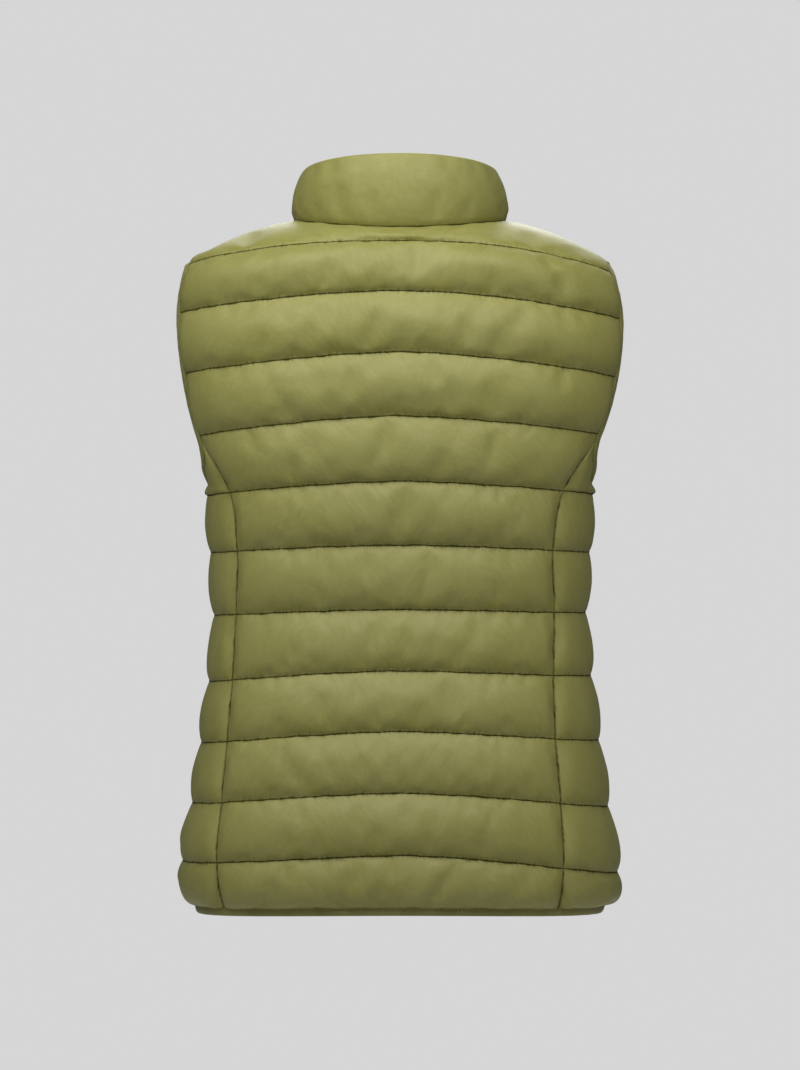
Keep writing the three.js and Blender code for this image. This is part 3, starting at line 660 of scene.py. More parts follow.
def collar_top(turn):
    sine, cosine = np.sin(np.radians(turn)), np.cos(np.radians(turn))
    x = np.sign(sine) * np.maximum(COLLAR_TOP_HALF_WIDTH * np.abs(sine), ZIP_OPENING_HALF * (cosine < 0))
    behind = cosine >= 0
    y = np.where(behind, -COLLAR_TOP_BACK_DEPTH, -NECK_FRONT_DEPTH) * cosine
    z_behind = mix(COLLAR_TOP_SIDE_Z, COLLAR_TOP_BACK_Z, cosine.clip(0) ** 0.75)
    z_in_front = mix(COLLAR_TOP_SIDE_Z, COLLAR_TOP_FRONT_Z, (-cosine).clip(0) ** 1.3)
    return np.stack([x, y, np.where(behind, z_behind, z_in_front)], -1)


class Collar:
    """The grid of the stand collar: rings from the neck seam up and over the top, columns round it."""

    def __init__(self):
        sizes = settings().puffer_padding
        end = 180 - np.degrees(np.arcsin((ZIP_OPENING_HALF + 0.0002) / NECK_HALF_WIDTH))
        fine = np.linspace(-end, end, 2001)
        base = neckline_points(fine)
        walked = arc_lengths(base, 0)
        count = round(walked[-1] / sizes.grid) + 1
        self.turn = np.interp(np.linspace(0, walked[-1], count), walked, fine)
        self.across_row = np.linspace(0, walked[-1], count)
        self.wall = sizes.wall
        outward = np.stack([np.sin(np.radians(self.turn)), -np.cos(np.radians(self.turn)),
                            np.zeros_like(self.turn)], -1)
        base, top = neckline_points(self.turn), collar_top(self.turn)
        height = np.linalg.norm(top - base, axis=1)
        waves = Waves(sizes.seed + 2, 3, (70, 31, 17))
        toward_zip = np.minimum(self.across_row, walked[-1] - self.across_row)
        fade = np.clip(toward_zip / sizes.edge_fade, 0, 1)[:, None] ** 0.6
        roll = self.wall / 2 + 0.5 * 0.45 * sizes.collar_puff
        outer, inner, normals = [], [], []
        steps = mix(np.linspace(0, 1, 19), 0.5 * (1 - np.cos(np.pi * np.linspace(0, 1, 19))), 0.4)
        for step in steps:
            share = mix(0.00003 / height, 1 - roll / height, step)[:, None]
            spot = mix(base, top, share)
            normal = unit(mix(unit(outward + [0, 0, 1]), outward, float(smooth(step / 0.3))))
            dome = np.sin(np.pi * 0.86 * step) ** 0.42
            uneven = 1 + 0.08 * waves.at(1, self.turn + 12 * step)[:, None]
            lift = sizes.collar_puff * dome * fade * uneven - sizes.valley * (1 - dome)
            outer.append(spot + normal * lift)
            inner.append(spot - normal * self.wall)
            normals.append(normal)
        middle = (outer[-1] + inner[-1]) / 2
        half = (outer[-1] - inner[-1]) / 2
        for angle in np.radians((30, 60, 90, 120, 150)):
            rise = roll * math.sin(angle)
            outer.append(middle + half * math.cos(angle) + np.array([0, 0, rise]))
            inner.append(inner[-1])
            normals.append(normals[-1])
        self.points = np.stack(outer)
        self.inner = np.stack(inner)
        self.normals = np.stack(normals)
        self.down = arc_lengths(self.points, 0)
        self.across = np.broadcast_to(self.across_row, self.down.shape)
        self.to_edge = np.minimum(self.across, self.across[:, -1:] - self.across)
        self.to_seam = self.down
        self.facing = -1

    def held(self):
        held = np.zeros(self.down.shape, bool)
        held[[0, *range(-5, 0)]] = True
        held[:, [0, -1]] = True
        return held


# ------------------------------------------------------------------ finishes

class Graph:
    """A few short words for building a material or a node group."""

    def __init__(self, tree):
        self.tree = tree

    def node(self, kind, **values):
        made = self.tree.nodes.new(kind)
        for key, value in values.items():
            setattr(made, key, value)
        return made

    def put(self, value, socket):
        if isinstance(value, bpy.types.NodeSocket):
            self.tree.links.new(value, socket)
        else:
            socket.default_value = value

    def math(self, operation, *values, clamp=False):
        made = self.node("ShaderNodeMath", operation=operation, use_clamp=clamp)
        for value, socket in zip(values, made.inputs):
            self.put(value, socket)
        return made.outputs[0]

    def scaled(self, vector, factors):
        made = self.node("ShaderNodeVectorMath", operation="MULTIPLY")
        self.put(vector, made.inputs[0])
        self.put(factors, made.inputs[1])
        return made.outputs[0]

    def noise(self, vector, scale, detail=2.0, roughness=0.5):
        made = self.node("ShaderNodeTexNoise")
        self.put(vector, made.inputs["Vector"])
        made.inputs["Scale"].default_value = scale
        made.inputs["Detail"].default_value = detail
        made.inputs["Roughness"].default_value = roughness
        return made.outputs["Fac"]

    def ramp(self, value, low, high, to_low=0.0, to_high=1.0):
        made = self.node("ShaderNodeMapRange", interpolation_type="SMOOTHSTEP")
        for key, item in (("Value", value), ("From Min", low), ("From Max", high),
                          ("To Min", to_low), ("To Max", to_high)):
            self.put(item, made.inputs[key])
        return made.outputs["Result"]

    def blend(self, share, first, second):
        made = self.node("ShaderNodeMix", data_type="RGBA")
        self.put(share, made.inputs["Factor"])
        self.put(first, made.inputs[6])
        self.put(second, made.inputs[7])
        return made.outputs[2]

    def attribute(self, name):
        return self.node("ShaderNodeAttribute", attribute_name=name).outputs["Fac"]

    def cloth_uv(self):
        return self.node("ShaderNodeUVMap", uv_map="Cloth").outputs["UV"]

    def group(self, name, **values):
        made = self.node("ShaderNodeGroup", node_tree=bpy.data.node_groups[name])
        for key, value in values.items():
            self.put(value, made.inputs[key.replace("_", " ")])
        return made

    def bump(self, height, strength, distance, normal=None):
        made = self.node("ShaderNodeBump")
        self.put(height, made.inputs["Height"])
        made.inputs["Strength"].default_value = strength
        made.inputs["Distance"].default_value = distance
        if normal is not None:
            self.put(normal, made.inputs["Normal"])
        return made.outputs["Normal"]


def new_group(name, inputs, outputs):
    """A node group with float inputs (name: default), one vector input and the given outputs."""
    tree = bpy.data.node_groups.new(name, "ShaderNodeTree")
    tree.interface.new_socket("Vector", in_out="INPUT", socket_type="NodeSocketVector")
    for key, default in inputs.items():
        socket = tree.interface.new_socket(key, in_out="INPUT", socket_type="NodeSocketFloat")
        socket.default_value = default
    for key in outputs:
        tree.interface.new_socket(key, in_out="OUTPUT", socket_type="NodeSocketFloat")
    graph = Graph(tree)
    source = graph.node("NodeGroupInput").outputs
    sink = graph.node("NodeGroupOutput").inputs
    return graph, source, sink


def make_weave_group():
    """Threads crossing at right angles. Threads per metre in, height from 0 to 1 out."""
    graph, source, sink = new_group("Weave", {"Threads": 2400.0, "Rib": 0.0}, ["Height"])
    split = graph.node("ShaderNodeSeparateXYZ")
    graph.put(source["Vector"], split.inputs[0])
    turn = graph.math("MULTIPLY", source["Threads"], math.pi)
    across = graph.math("SINE", graph.math("MULTIPLY", split.outputs[0], turn))
    along = graph.math("SINE", graph.math("MULTIPLY", split.outputs[1], turn))
    both = graph.math("MULTIPLY", across, along)
    plain = graph.math("MULTIPLY_ADD", both, 0.5, 0.5)
    rib = graph.math("ABSOLUTE", along)
    mixed = graph.node("ShaderNodeMix", data_type="FLOAT")
    graph.put(source["Rib"], mixed.inputs["Factor"])
    graph.put(plain, mixed.inputs[2])
    graph.put(rib, mixed.inputs[3])
    graph.put(mixed.outputs[0], sink["Height"])


def make_pucker_group():
    """Short creases that run away from a seam and die out. Height around 0 out."""
    graph, source, sink = new_group(
        "Puckers", {"Distance": 0.0, "Reach": 0.012, "Spacing": 0.006, "Slant": 0.12}, ["Height"])
    split = graph.node("ShaderNodeSeparateXYZ")
    graph.put(source["Vector"], split.inputs[0])
    stretched = graph.node("ShaderNodeCombineXYZ")
    graph.put(graph.math("DIVIDE", split.outputs[0], source["Spacing"]), stretched.inputs[0])
    graph.put(graph.math("MULTIPLY", graph.math("DIVIDE", split.outputs[1], source["Spacing"]),
                         source["Slant"]), stretched.inputs[1])
    creases = graph.noise(stretched.outputs[0], 1.0, 3.0, 0.55)
    centred = graph.math("SUBTRACT", creases, 0.5)
    lengths = graph.noise(stretched.outputs[0], 0.35, 1.0)
    reach = graph.math("MULTIPLY", source["Reach"], graph.math("MULTIPLY_ADD", lengths, 1.6, 0.2))
    fade = graph.math("SUBTRACT", 1.0, graph.math("DIVIDE", source["Distance"], reach), clamp=True)
    graph.put(graph.math("MULTIPLY", centred, graph.math("POWER", fade, 1.5)), sink["Height"])


def make_mottle_group():
    """Broad soft variation, such as dye and handling leave. From 0 to 1 out."""
    graph, source, sink = new_group("Mottle", {"Size": 0.05}, ["Value"])
    scale = graph.math("DIVIDE", 1.0, source["Size"])
    made = graph.node("ShaderNodeTexNoise")
    graph.put(source["Vector"], made.inputs["Vector"])
    graph.put(scale, made.inputs["Scale"])
    made.inputs["Detail"].default_value = 3.0
    graph.put(graph.ramp(made.outputs["Fac"], 0.34, 0.66), sink["Value"])


def make_wear_group():
    """Where lacquer is rubbed through: on edges, from a bevelled normal, broken up by noise."""
    graph, source, sink = new_group("Edge wear", {"Radius": 0.0004, "Amount": 0.5}, ["Mask"])
    bevel = graph.node("ShaderNodeBevel", samples=4)
    graph.put(source["Radius"], bevel.inputs["Radius"])
    plain = graph.node("ShaderNodeNewGeometry")
    dot = graph.node("ShaderNodeVectorMath", operation="DOT_PRODUCT")
    graph.put(bevel.outputs[0], dot.inputs[0])
    graph.put(plain.outputs["Normal"], dot.inputs[1])
    edge = graph.math("SUBTRACT", 1.0, dot.outputs["Value"])
    broken = graph.math("MULTIPLY", edge, graph.noise(source["Vector"], 900.0, 3.0))
    graph.put(graph.math("MULTIPLY", graph.ramp(broken, 0.01, 0.09), source["Amount"]), sink["Mask"])


def new_material(name, roughness, **sockets):
    material = bpy.data.materials.new(name)
    material.use_nodes = True
    graph = Graph(material.node_tree)
    shader = material.node_tree.nodes["Principled BSDF"]
    shader.inputs["Roughness"].default_value = roughness
    for key, value in sockets.items():
        shader.inputs[key.replace("_", " ")].default_value = value
    return graph, shader


def rgba(values):
    return (*values, 1.0)


def make_shell_material():
    """Fine nylon with a silky gloss, puckered along its seams, with painted shade on the lower part of
    each row and in the gathers beside its seams.
    """
    colours = settings().puffer_finish
    graph, shader = new_material(
        "Outer nylon", 0.6, Specular_IOR_Level=0.25, Specular_Tint=(1.0, 0.95, 0.3, 1.0),
        Coat_Roughness=0.55)
    uv = graph.cloth_uv()
    turned = graph.node("ShaderNodeVectorRotate", rotation_type="Z_AXIS")
    graph.put(uv, turned.inputs["Vector"])
    turned.inputs["Angle"].default_value = math.pi / 2
    to_seam, to_edge = graph.attribute("to_seam"), graph.attribute("to_edge")
    along_rows = graph.group("Puckers", Vector=uv, Distance=to_seam, Reach=0.011, Spacing=0.0052)
    along_edges = graph.group("Puckers", Vector=turned.outputs[0], Distance=to_edge,
                              Reach=0.010, Spacing=0.0045)
    small = graph.group("Puckers", Vector=uv, Distance=to_seam, Reach=0.0055, Spacing=0.0022)
    coarse = graph.math("ADD", along_rows.outputs[0], along_edges.outputs[0])
    normal = graph.bump(coarse, 1.0, 0.0010)
    normal = graph.bump(small.outputs[0], 1.0, 0.0010, normal)
    creases = graph.noise(uv, 90.0, 6.0, 0.75)
    normal = graph.bump(creases, 0.4, 0.0018, normal)
    weave = graph.group("Weave", Vector=uv, Threads=2600.0)
    normal = graph.bump(weave.outputs[0], 0.2, 0.00006, normal)
    graph.put(normal, shader.inputs["Normal"])
    broad = graph.group("Mottle", Vector=uv, Size=0.07)
    small_marks = graph.group("Mottle", Vector=uv, Size=0.006)
    mixed = graph.math("ADD", graph.math("MULTIPLY", broad.outputs[0], 0.30),
                       graph.math("MULTIPLY", small_marks.outputs[0], 0.28))
    # Painted shade: the lower part of each row, under the row above, is blended towards the darker shell
    # colour in irregular patches.
    painted_row_foot_shade = graph.ramp(graph.attribute("row_place"), 0.70, 1.0, 0.0, 0.75)
    shade_patches = graph.ramp(graph.noise(uv, 38.0, 4.0), 0.3, 0.7)
    share = graph.math("MULTIPLY_ADD", painted_row_foot_shade, shade_patches, mixed)
    cloth = graph.blend(share, rgba(colours.shell), rgba(colours.shell_tone_and_shade))
    width = graph.ramp(graph.noise(uv, 190.0, 3.0, 0.7), 0.34, 0.66, 0.0005, 0.0015)
    at_rows = graph.ramp(to_seam, 0.0002, width, 0.95, 0.0)
    broken = graph.ramp(graph.noise(uv, 70.0, 3.0, 0.7), 0.42, 0.62, 0.45, 0.95)
    edge_width = graph.math("ADD", width, 0.0007)
    at_edges = graph.math("MULTIPLY", graph.ramp(to_edge, 0.0007, edge_width, 0.95, 0.0), broken)
    # Painted shade: short dark ticks just beside the quilting seams stand in for the shade in the small
    # gathers there.
    gather_shade_ticks = graph.ramp(graph.noise(graph.scaled(uv, (1.0, 0.15, 1.0)), 420.0, 1.0), 0.5, 0.64, 0.0, 0.4)
    near_rows = graph.ramp(to_seam, 0.0006, 0.0042, 1.0, 0.0)
    near = graph.math("MAXIMUM", at_rows, at_edges)
    shade = tuple(0.35 * part for part in colours.shell_tone_and_shade)
    cloth = graph.blend(graph.math("MULTIPLY", gather_shade_ticks, near_rows), cloth, rgba(shade))
    cloth = graph.blend(near, cloth, rgba(colours.thread))
    graph.put(cloth, shader.inputs["Base Color"])
    fine = graph.noise(uv, 260.0, 2.0)
    silky = graph.ramp(fine, 0.3, 0.7, 0.60, 0.69)
    graph.put(graph.math("MULTIPLY_ADD", near, 0.3, silky, clamp=True), shader.inputs["Roughness"])
    shine = graph.math("MULTIPLY_ADD", near, -1.0, 1.0, clamp=True)
    graph.put(graph.math("MULTIPLY", shine, 0.85), shader.inputs["Coat Weight"])


def make_lining_material():
    colours = settings().puffer_finish
    graph, shader = new_material("Lining taffeta", 0.5)
    uv = graph.cloth_uv()
    to_seam = graph.attribute("to_seam")
    puckers = graph.group("Puckers", Vector=uv, Distance=to_seam, Reach=0.016, Spacing=0.006)
    normal = graph.bump(puckers.outputs[0], 1.0, 0.003)
    dip = graph.ramp(to_seam, 0.0, 0.012)
    normal = graph.bump(dip, 1.0, 0.003, normal)
    weave = graph.group("Weave", Vector=uv, Threads=2200.0)
    normal = graph.bump(weave.outputs[0], 0.3, 0.00008, normal)
    graph.put(normal, shader.inputs["Normal"])
    mottle = graph.group("Mottle", Vector=uv, Size=0.06)
    deep = rgba(tuple(0.8 * part for part in colours.lining))
    graph.put(graph.blend(mottle.outputs[0], rgba(colours.lining), deep), shader.inputs["Base Color"])


def make_trim_material(name, colour_name, threads, rib, roughness, gloss=0.5):
    """Woven or knitted trim: the bindings, the zip's tapes and the sewing thread."""
    given = getattr(settings().puffer_finish, colour_name)
    graph, shader = new_material(
        name, roughness, Specular_IOR_Level=gloss, Sheen_Weight=0.2 * gloss)
    uv = graph.cloth_uv()
    weave = graph.group("Weave", Vector=uv, Threads=threads, Rib=rib)
    normal = graph.bump(weave.outputs[0], 0.6, 0.00022)
    gathers = graph.noise(graph.scaled(uv, (1.0, 0.2, 1.0)), 190.0, 2.0)
    normal = graph.bump(gathers, 0.5, 0.0009, normal)
    graph.put(normal, shader.inputs["Normal"])
    mottle = graph.group("Mottle", Vector=uv, Size=0.03)
    deep = rgba(tuple(0.78 * part for part in given))
    graph.put(graph.blend(mottle.outputs[0], rgba(given), deep), shader.inputs["Base Color"])


def make_hard_material(name, colour_name, roughness, metallic, wear):
    given = getattr(settings().puffer_finish, colour_name)
    graph, shader = new_material(name, roughness)
    place = graph.node("ShaderNodeTexCoord").outputs["Object"]
    worn = graph.group("Edge wear", Vector=place, Amount=wear)
    mottle = graph.group("Mottle", Vector=place, Size=0.004)
    deep = rgba(tuple(0.8 * part for part in given))
    body = graph.blend(mottle.outputs[0], rgba(given), deep)
    bare = settings().puffer_finish.bare_metal if metallic else tuple(1.5 * part for part in given)
    graph.put(graph.blend(worn.outputs[0], body, rgba(bare)), shader.inputs["Base Color"])
    if metallic:
        graph.put(graph.math("MAXIMUM", worn.outputs[0], metallic), shader.inputs["Metallic"])
    fine = graph.noise(place, 1500.0, 2.0)
    graph.put(graph.ramp(fine, 0.3, 0.7, roughness - 0.05, roughness + 0.08),
              shader.inputs["Roughness"])
    graph.put(graph.bump(fine, 0.15, 0.00005), shader.inputs["Normal"])


def make_finishes():
    make_weave_group()
    make_pucker_group()
    make_mottle_group()
    make_wear_group()
    make_shell_material()
    make_lining_material()
    make_trim_material("Binding cloth", "binding", 1500.0, 0.7, 0.6)
    make_trim_material("Zip tape cloth", "tape", 1300.0, 1.0, 0.75)
    make_trim_material("Sewing thread", "thread", 6000.0, 1.0, 0.8, 0.12)
    make_hard_material("Moulded teeth", "teeth", 0.38, 0.0, 0.4)
    make_hard_material("Lacquered metal", "metal", 0.3, 0.35, 0.6)


# ------------------------------------------------------------------ bindings

BINDING_WIDTH = 0.005
HEM_BINDING_WIDTH = 0.006
BINDING_THICKNESS = 0.0044
GROOVE_PLACE = 0.26          # where the row of stitches runs across a binding, of its whole width
ARMHOLE_MIDDLE = (0.176, 0.008, -0.140)


class TrimSizes(bpy.types.PropertyGroup):
    overlap: length("Overlap", "How far a binding reaches over the cloth that it holds", 0.0014)
    ring_gap: length("Ring gap", "Spacing of the binding's rings along its edge", 0.0018)
    gathers: length("Gathers", "Depth of the small gathers of the elastic", 0.00022)
    groove: length("Stitch groove", "Depth of the row of stitches along the binding", 0.0003)
    stitch_pitch: length("Stitch pitch", "Distance from one stitch to the next", 0.0033)
    stitch_length: length("Stitch length", "Length of thread that shows in a stitch", 0.0024)
    thread_radius: length("Thread radius", "Half the thickness of the sewing thread", 0.00022)
    seed: bpy.props.IntProperty(name="Seed", description="Start of the random draws", default=5)


def resample(points, normals, spacing, closed):
    """The same line with even spacing, a little smoothed."""
    if closed:
        points, normals = (np.concatenate([part, part[:1]]) for part in (points, normals))
    walked = arc_lengths(points, 0)
    count = round(walked[-1] / spacing) + 1
    stops = np.linspace(0, walked[-1], count)
    line = at_stops(stops, walked, points)
    turn = at_stops(stops, walked, normals)
    if closed:
        line, turn = line[:-1], turn[:-1]
    for _ in range(3):
        line, turn = (soften(part, closed) for part in (line, turn))
    return line, unit(turn), walked[-1]


def soften(values, closed):
    before, after = np.roll(values, 1, 0), np.roll(values, -1, 0)
    smoothed = (before + 2 * values + after) / 4
    if not closed:
        smoothed[[0, -1]] = values[[0, -1]]
    return smoothed


def tangents(line, closed):
    if closed:
        return unit(np.roll(line, -1, 0) - np.roll(line, 1, 0))
    return unit(np.gradient(line, axis=0))


# Across a binding: (place from its inner border, 0, to its outer edge, 1; half thickness).
BINDING_PROFILE = np.array([
    (0.02, 0.06), (0.0, 0.5), (0.04, 0.84), (0.14, 1.0), (GROOVE_PLACE, 0.9), (0.38, 1.0), (0.6, 1.0),
    (0.82, 0.92), (0.94, 0.66),
])


def binding_strip(name, line, normals, target, width, closed):
    """A strip folded round the edge of the wall, gathered a little by its elastic."""
    sizes = settings().puffer_trim
    line, normals, total = resample(line, normals, sizes.ring_gap, closed)
    along = tangents(line, closed)
    outward = unit(np.cross(along, normals))
    ways = np.sign(((target - line) * outward).sum(-1, keepdims=True))
    outward = outward * ways
    wave = np.random.RandomState(sizes.seed).normal(size=len(line))
    for _ in range(2):
        wave = soften(wave, closed)
    wave /= np.abs(wave).max()
    reach = width + SEAM_GAP + sizes.overlap
    profile = np.concatenate([BINDING_PROFILE, [(1.0, 0.0)], BINDING_PROFILE[::-1] * (1, -1)])
    rings = []
    for place, thick in profile:
        puffed_out = BINDING_THICKNESS / 2 * thick + sizes.gathers * wave * np.sign(thick)
        if place == GROOVE_PLACE:
            puffed_out -= sizes.groove * np.sign(thick)
        spot = line + outward * (place * reach - sizes.overlap)
        rings.append(spot + normals * (puffed_out - SEWN_WALL / 2)[:, None])
    grid = np.stack(rings)
    count, size = grid.shape[0], grid.shape[1]
    walked = np.linspace(0, total, size)
    around = np.linspace(0, 2 * reach + 0.003, count)
    uv = np.stack(np.broadcast_arrays(walked[None, :], around[:, None]), -1)
    faces = []
    for r in range(count - 1):
        for c in range(size if closed else size - 1):
            side = (c + 1) % size
            faces.append([r * size + c, r * size + side, (r + 1) * size + side, (r + 1) * size + c])
    if not closed:
        faces.append([r * size for r in range(count)])
        faces.append([r * size + size - 1 for r in reversed(range(count))])
    strip = new_piece(name, grid.reshape(-1, 3), faces)
    point_uv(strip, uv.reshape(-1, 2))
    recalculate_outside(strip)
    shade_smooth(strip)
    strip.data.materials.append(bpy.data.materials["Binding cloth"])
    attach(strip, "garment")
    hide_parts(name.removesuffix("_folded"))
    seam = line + outward * (GROOVE_PLACE * reach - sizes.overlap)
    height = BINDING_THICKNESS / 2 * 0.9 - sizes.groove
    return strip, seam + normals * (height - SEWN_WALL / 2), normals, total


def recalculate_outside(piece):
    activate(piece)
    bpy.ops.object.mode_set(mode="EDIT")
    bpy.ops.mesh.select_all(action="SELECT")
    bpy.ops.mesh.normals_make_consistent(inside=False)
    bpy.ops.object.mode_set(mode="OBJECT")
    deselect_all()


def armhole_line(side, panels):
    back, side_piece = panels["back_panel"], panels[side_name(side, "side_panel")]
    front = panels[side_name(side, "front_panel")]
    column = -1 if side > 0 else 0
    upto = np.flatnonzero((back.row == ARMHOLE_LEVEL) & (back.step == 0))[0] + 1
    parts = [
        (back.points[:upto, column][::-1], back.normals[:upto, column][::-1]),
        (front.points[:upto, 0], front.normals[:upto, 0]),
        (side_piece.points[0][::-1][1:-1], side_piece.normals[0][::-1][1:-1]),
    ]
    return tuple(np.concatenate(part) for part in zip(*parts))


def hem_line(panels):
    order = ("front_panel_left", "side_panel_left", "back_panel", "side_panel_right",
             "front_panel_right")
    lines, normals = [], []
    for i, name in enumerate(order):
        panel = panels[name]
        way = -1 if name.endswith("left") else 1
        kept = slice(min(i, 1), None if i == len(order) - 1 else -1)
        lines.append(panel.points[-1][::way][kept])
        normals.append(panel.normals[-1][::way][kept])
    return np.concatenate(lines), np.concatenate(normals)


def side_name(side, stem):
    return f"{stem}_{'right' if side > 0 else 'left'}"


# ------------------------------------------------------------------ sewing

def model_stitch():
    """One stitch of thread: a short rod with tapered ends that dips at both of them."""
    sizes = settings().puffer_trim
    deselect_all()
    bpy.ops.mesh.primitive_cylinder_add(
        vertices=5, radius=sizes.thread_radius, depth=0.6 * sizes.stitch_length,
        end_fill_type="NGON", rotation=(0, math.pi / 2, 0))
    stitch = bpy.context.object
    bpy.ops.object.transform_apply(rotation=True)
    bpy.ops.object.mode_set(mode="EDIT")
    for way in (-1, 1):
        mesh = bmesh.from_edit_mesh(stitch.data)
        for face in mesh.faces:
            face.select = face.normal.x * way > 0.9
        mesh.select_flush_mode()
        bmesh.update_edit_mesh(stitch.data)
        bpy.ops.mesh.extrude_region_move(TRANSFORM_OT_translate={
            "value": (way * 0.2 * sizes.stitch_length, 0, -1.1 * sizes.thread_radius)})
        bpy.ops.transform.resize(value=(0.55, 0.55, 0.55))
        bpy.ops.mesh.select_all(action="DESELECT")
    bpy.ops.object.mode_set(mode="OBJECT")
    deselect_all()
    return stitch


def stitch_frames(line, normals, closed=False):
    """Evenly spaced places along a seam with the way along it and the way out of the cloth."""
    sizes = settings().puffer_trim
    if closed:
        line, normals = (np.concatenate([part, part[:1]]) for part in (line, normals))
    walked = arc_lengths(line, 0)
    count = max(1, round(walked[-1] / sizes.stitch_pitch))
    stops = (np.arange(count) + 0.5) * walked[-1] / count
    spot = at_stops(stops, walked, line)
    near = 0.001
    along = unit(at_stops(stops + near, walked, line) - at_stops(stops - near, walked, line))
    out = at_stops(stops, walked, normals)
    out = unit(out - along * (out * along).sum(-1, keepdims=True))
    return spot, along, out


def sew(name, seams):
    """Copies the stitch along all the seams and joins the copies into one piece of thread."""
    sizes = settings().puffer_trim
    stitch = model_stitch()
    shape = mesh_points(stitch)
    faces = [list(face.vertices) for face in stitch.data.polygons]
    bpy.data.objects.remove(stitch)
    spots, alongs, outs = (np.concatenate(part) for part in zip(*seams))
    draws = np.random.RandomState(sizes.seed + 3)
    tilt = draws.normal(0, 0.05, len(spots))[:, None]
    across = np.cross(outs, alongs)
    alongs = unit(alongs + across * tilt)
    across = np.cross(outs, alongs)
    points = (spots[:, None] + shape[None, :, :1] * alongs[:, None]
              + shape[None, :, 1:2] * across[:, None] + shape[None, :, 2:] * outs[:, None])
    every = [[i * len(shape) + corner for corner in face] for i in range(len(spots)) for face in faces]
    thread = new_piece(name, points.reshape(-1, 3), every)
    uv = np.broadcast_to(shape[None, :, :2], (len(spots), len(shape), 2))
    point_uv(thread, uv.reshape(-1, 2))
    shade_smooth(thread)
    thread.data.materials.append(bpy.data.materials["Sewing thread"])
    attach(thread, "garment")
    return thread


# ------------------------------------------------------------------ zip

ZIP_TOP_Z = COLLAR_TOP_FRONT_Z - 0.001
BOX_HEIGHT = 0.009
TEETH_IN_BOX = 0.001         # how far the teeth run into the bottom box
TEETH_IN_SLIDER = 0.008      # and into the slider
SLIDER_TOP_Z = COLLAR_TOP_FRONT_Z - 0.004
SLIDER_HEIGHT = 0.013
SLIDER_FOOT_Z = SLIDER_TOP_Z - SLIDER_HEIGHT


class ZipSizes(bpy.types.PropertyGroup):
    tooth_pitch: length("Tooth pitch", "Distance between teeth on one side", 0.0026)
    tape_inner: length("Tape, inner edge", "Distance of the corded edge from the middle", 0.0012)
    tape_outer: length("Tape, outer edge", "Distance of the sewn edge from the middle", 0.0094)
    tape_thickness: length("Tape thickness", "Thickness of the woven tape", 0.0009)


def zip_curve(from_z, to_z, spacing):
    """Points of the zip's line, in the middle of the wall, and the ways out of the front."""
    level = np.linspace(HEM_LEVEL, 0, 400)
    line = body_points(np.full_like(level, 180.0), level)
    foot = line[0] - (0, 0, HEM_BINDING_WIDTH + SEAM_GAP)
    top = np.array([0, NECK_FRONT_DEPTH, COLLAR_TOP_FRONT_Z])
    line = np.concatenate([[foot], line, [top]])
    for _ in range(3):
        line = soften(line, False)
    line[:, 0] = 0
    stops = np.arange(from_z, to_z, spacing)
    y = np.interp(stops, line[:, 2], line[:, 1])
    slope = np.interp(stops, line[:, 2], np.gradient(line[:, 1], line[:, 2]))
    out = unit(np.stack([np.zeros_like(y), np.ones_like(y), -slope], -1))
    return np.stack([np.zeros_like(y), y, stops], -1) - out * SEWN_WALL / 2, out


def zip_tape(side):
    """A woven tape with a corded inner edge."""
    sizes = settings().puffer_zip
    foot = seam_points(np.array([180.0]))[-1][0, 2] - HEM_BINDING_WIDTH - SEAM_GAP
    line, out = zip_curve(foot, ZIP_TOP_Z, 0.004)
    inner, outer, thin = sizes.tape_inner, sizes.tape_outer, sizes.tape_thickness / 2
    section = [(inner, 0.0), (inner + 0.0002, 1.5), (inner + 0.0009, 1.9), (inner + 0.0016, 1.1),
               (inner + 0.0035, 1.0), (outer - 0.001, 1.0), (outer, 0.6)]
    section += [(x, -thick) for x, thick in reversed(section[1:])]
    grid = np.stack([line + np.array([side * x, 0, 0]) + out * thick * thin for x, thick in section])
    count, size = grid.shape[:2]
    faces = [[r * size + c, r * size + c + 1, (r + 1) % count * size + c + 1, (r + 1) % count * size + c]
             for r in range(count) for c in range(size - 1)]
    faces += [[r * size for r in range(count)], [r * size + size - 1 for r in reversed(range(count))]]
    name = side_name(side, "zip_tape")
    tape = new_piece(name + "_woven", grid.reshape(-1, 3), faces)
    across = np.array([x for x, _ in section])
    uv = np.stack(np.broadcast_arrays(across[:, None], line[None, :, 2]), -1)
    point_uv(tape, uv.reshape(-1, 2))
    recalculate_outside(tape)
    shade_smooth(tape)
    tape.data.materials.append(bpy.data.materials["Zip tape cloth"])
    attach(tape, "garment")
    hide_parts(name)
    return tape


# Steps of a tooth from its block to its head: (length, thickness as a share of the step before).
TOOTH_STEPS = ((0.0006, 0.72), (0.0007, 1.0), (0.0005, 1.3))


def model_tooth():
    """One moulded tooth that points to -X: a block on the tape with a narrower, rounded head."""
    deselect_all()
    bpy.ops.mesh.primitive_cube_add(size=1, location=(0.0019, 0, 0), scale=(0.0022, 0.0030, 0.0014))
    tooth = bpy.context.object
    bpy.ops.object.transform_apply(location=True, rotation=True, scale=True)
    bpy.ops.object.mode_set(mode="EDIT")
    for step, width in TOOTH_STEPS:
        bpy.ops.mesh.select_all(action="DESELECT")
        mesh = bmesh.from_edit_mesh(tooth.data)
        min(mesh.faces, key=lambda face: face.calc_center_median().x).select_set(True)
        bmesh.update_edit_mesh(tooth.data)
        bpy.ops.mesh.extrude_region_move(TRANSFORM_OT_translate={"value": (-step, 0, 0)})
        bpy.ops.transform.resize(value=(1, 0.92, width))
    bpy.ops.mesh.select_all(action="SELECT")
    bpy.ops.mesh.bevel(offset=0.00022, segments=1, affect="EDGES")
    bpy.ops.object.mode_set(mode="OBJECT")
    deselect_all()
    return tooth


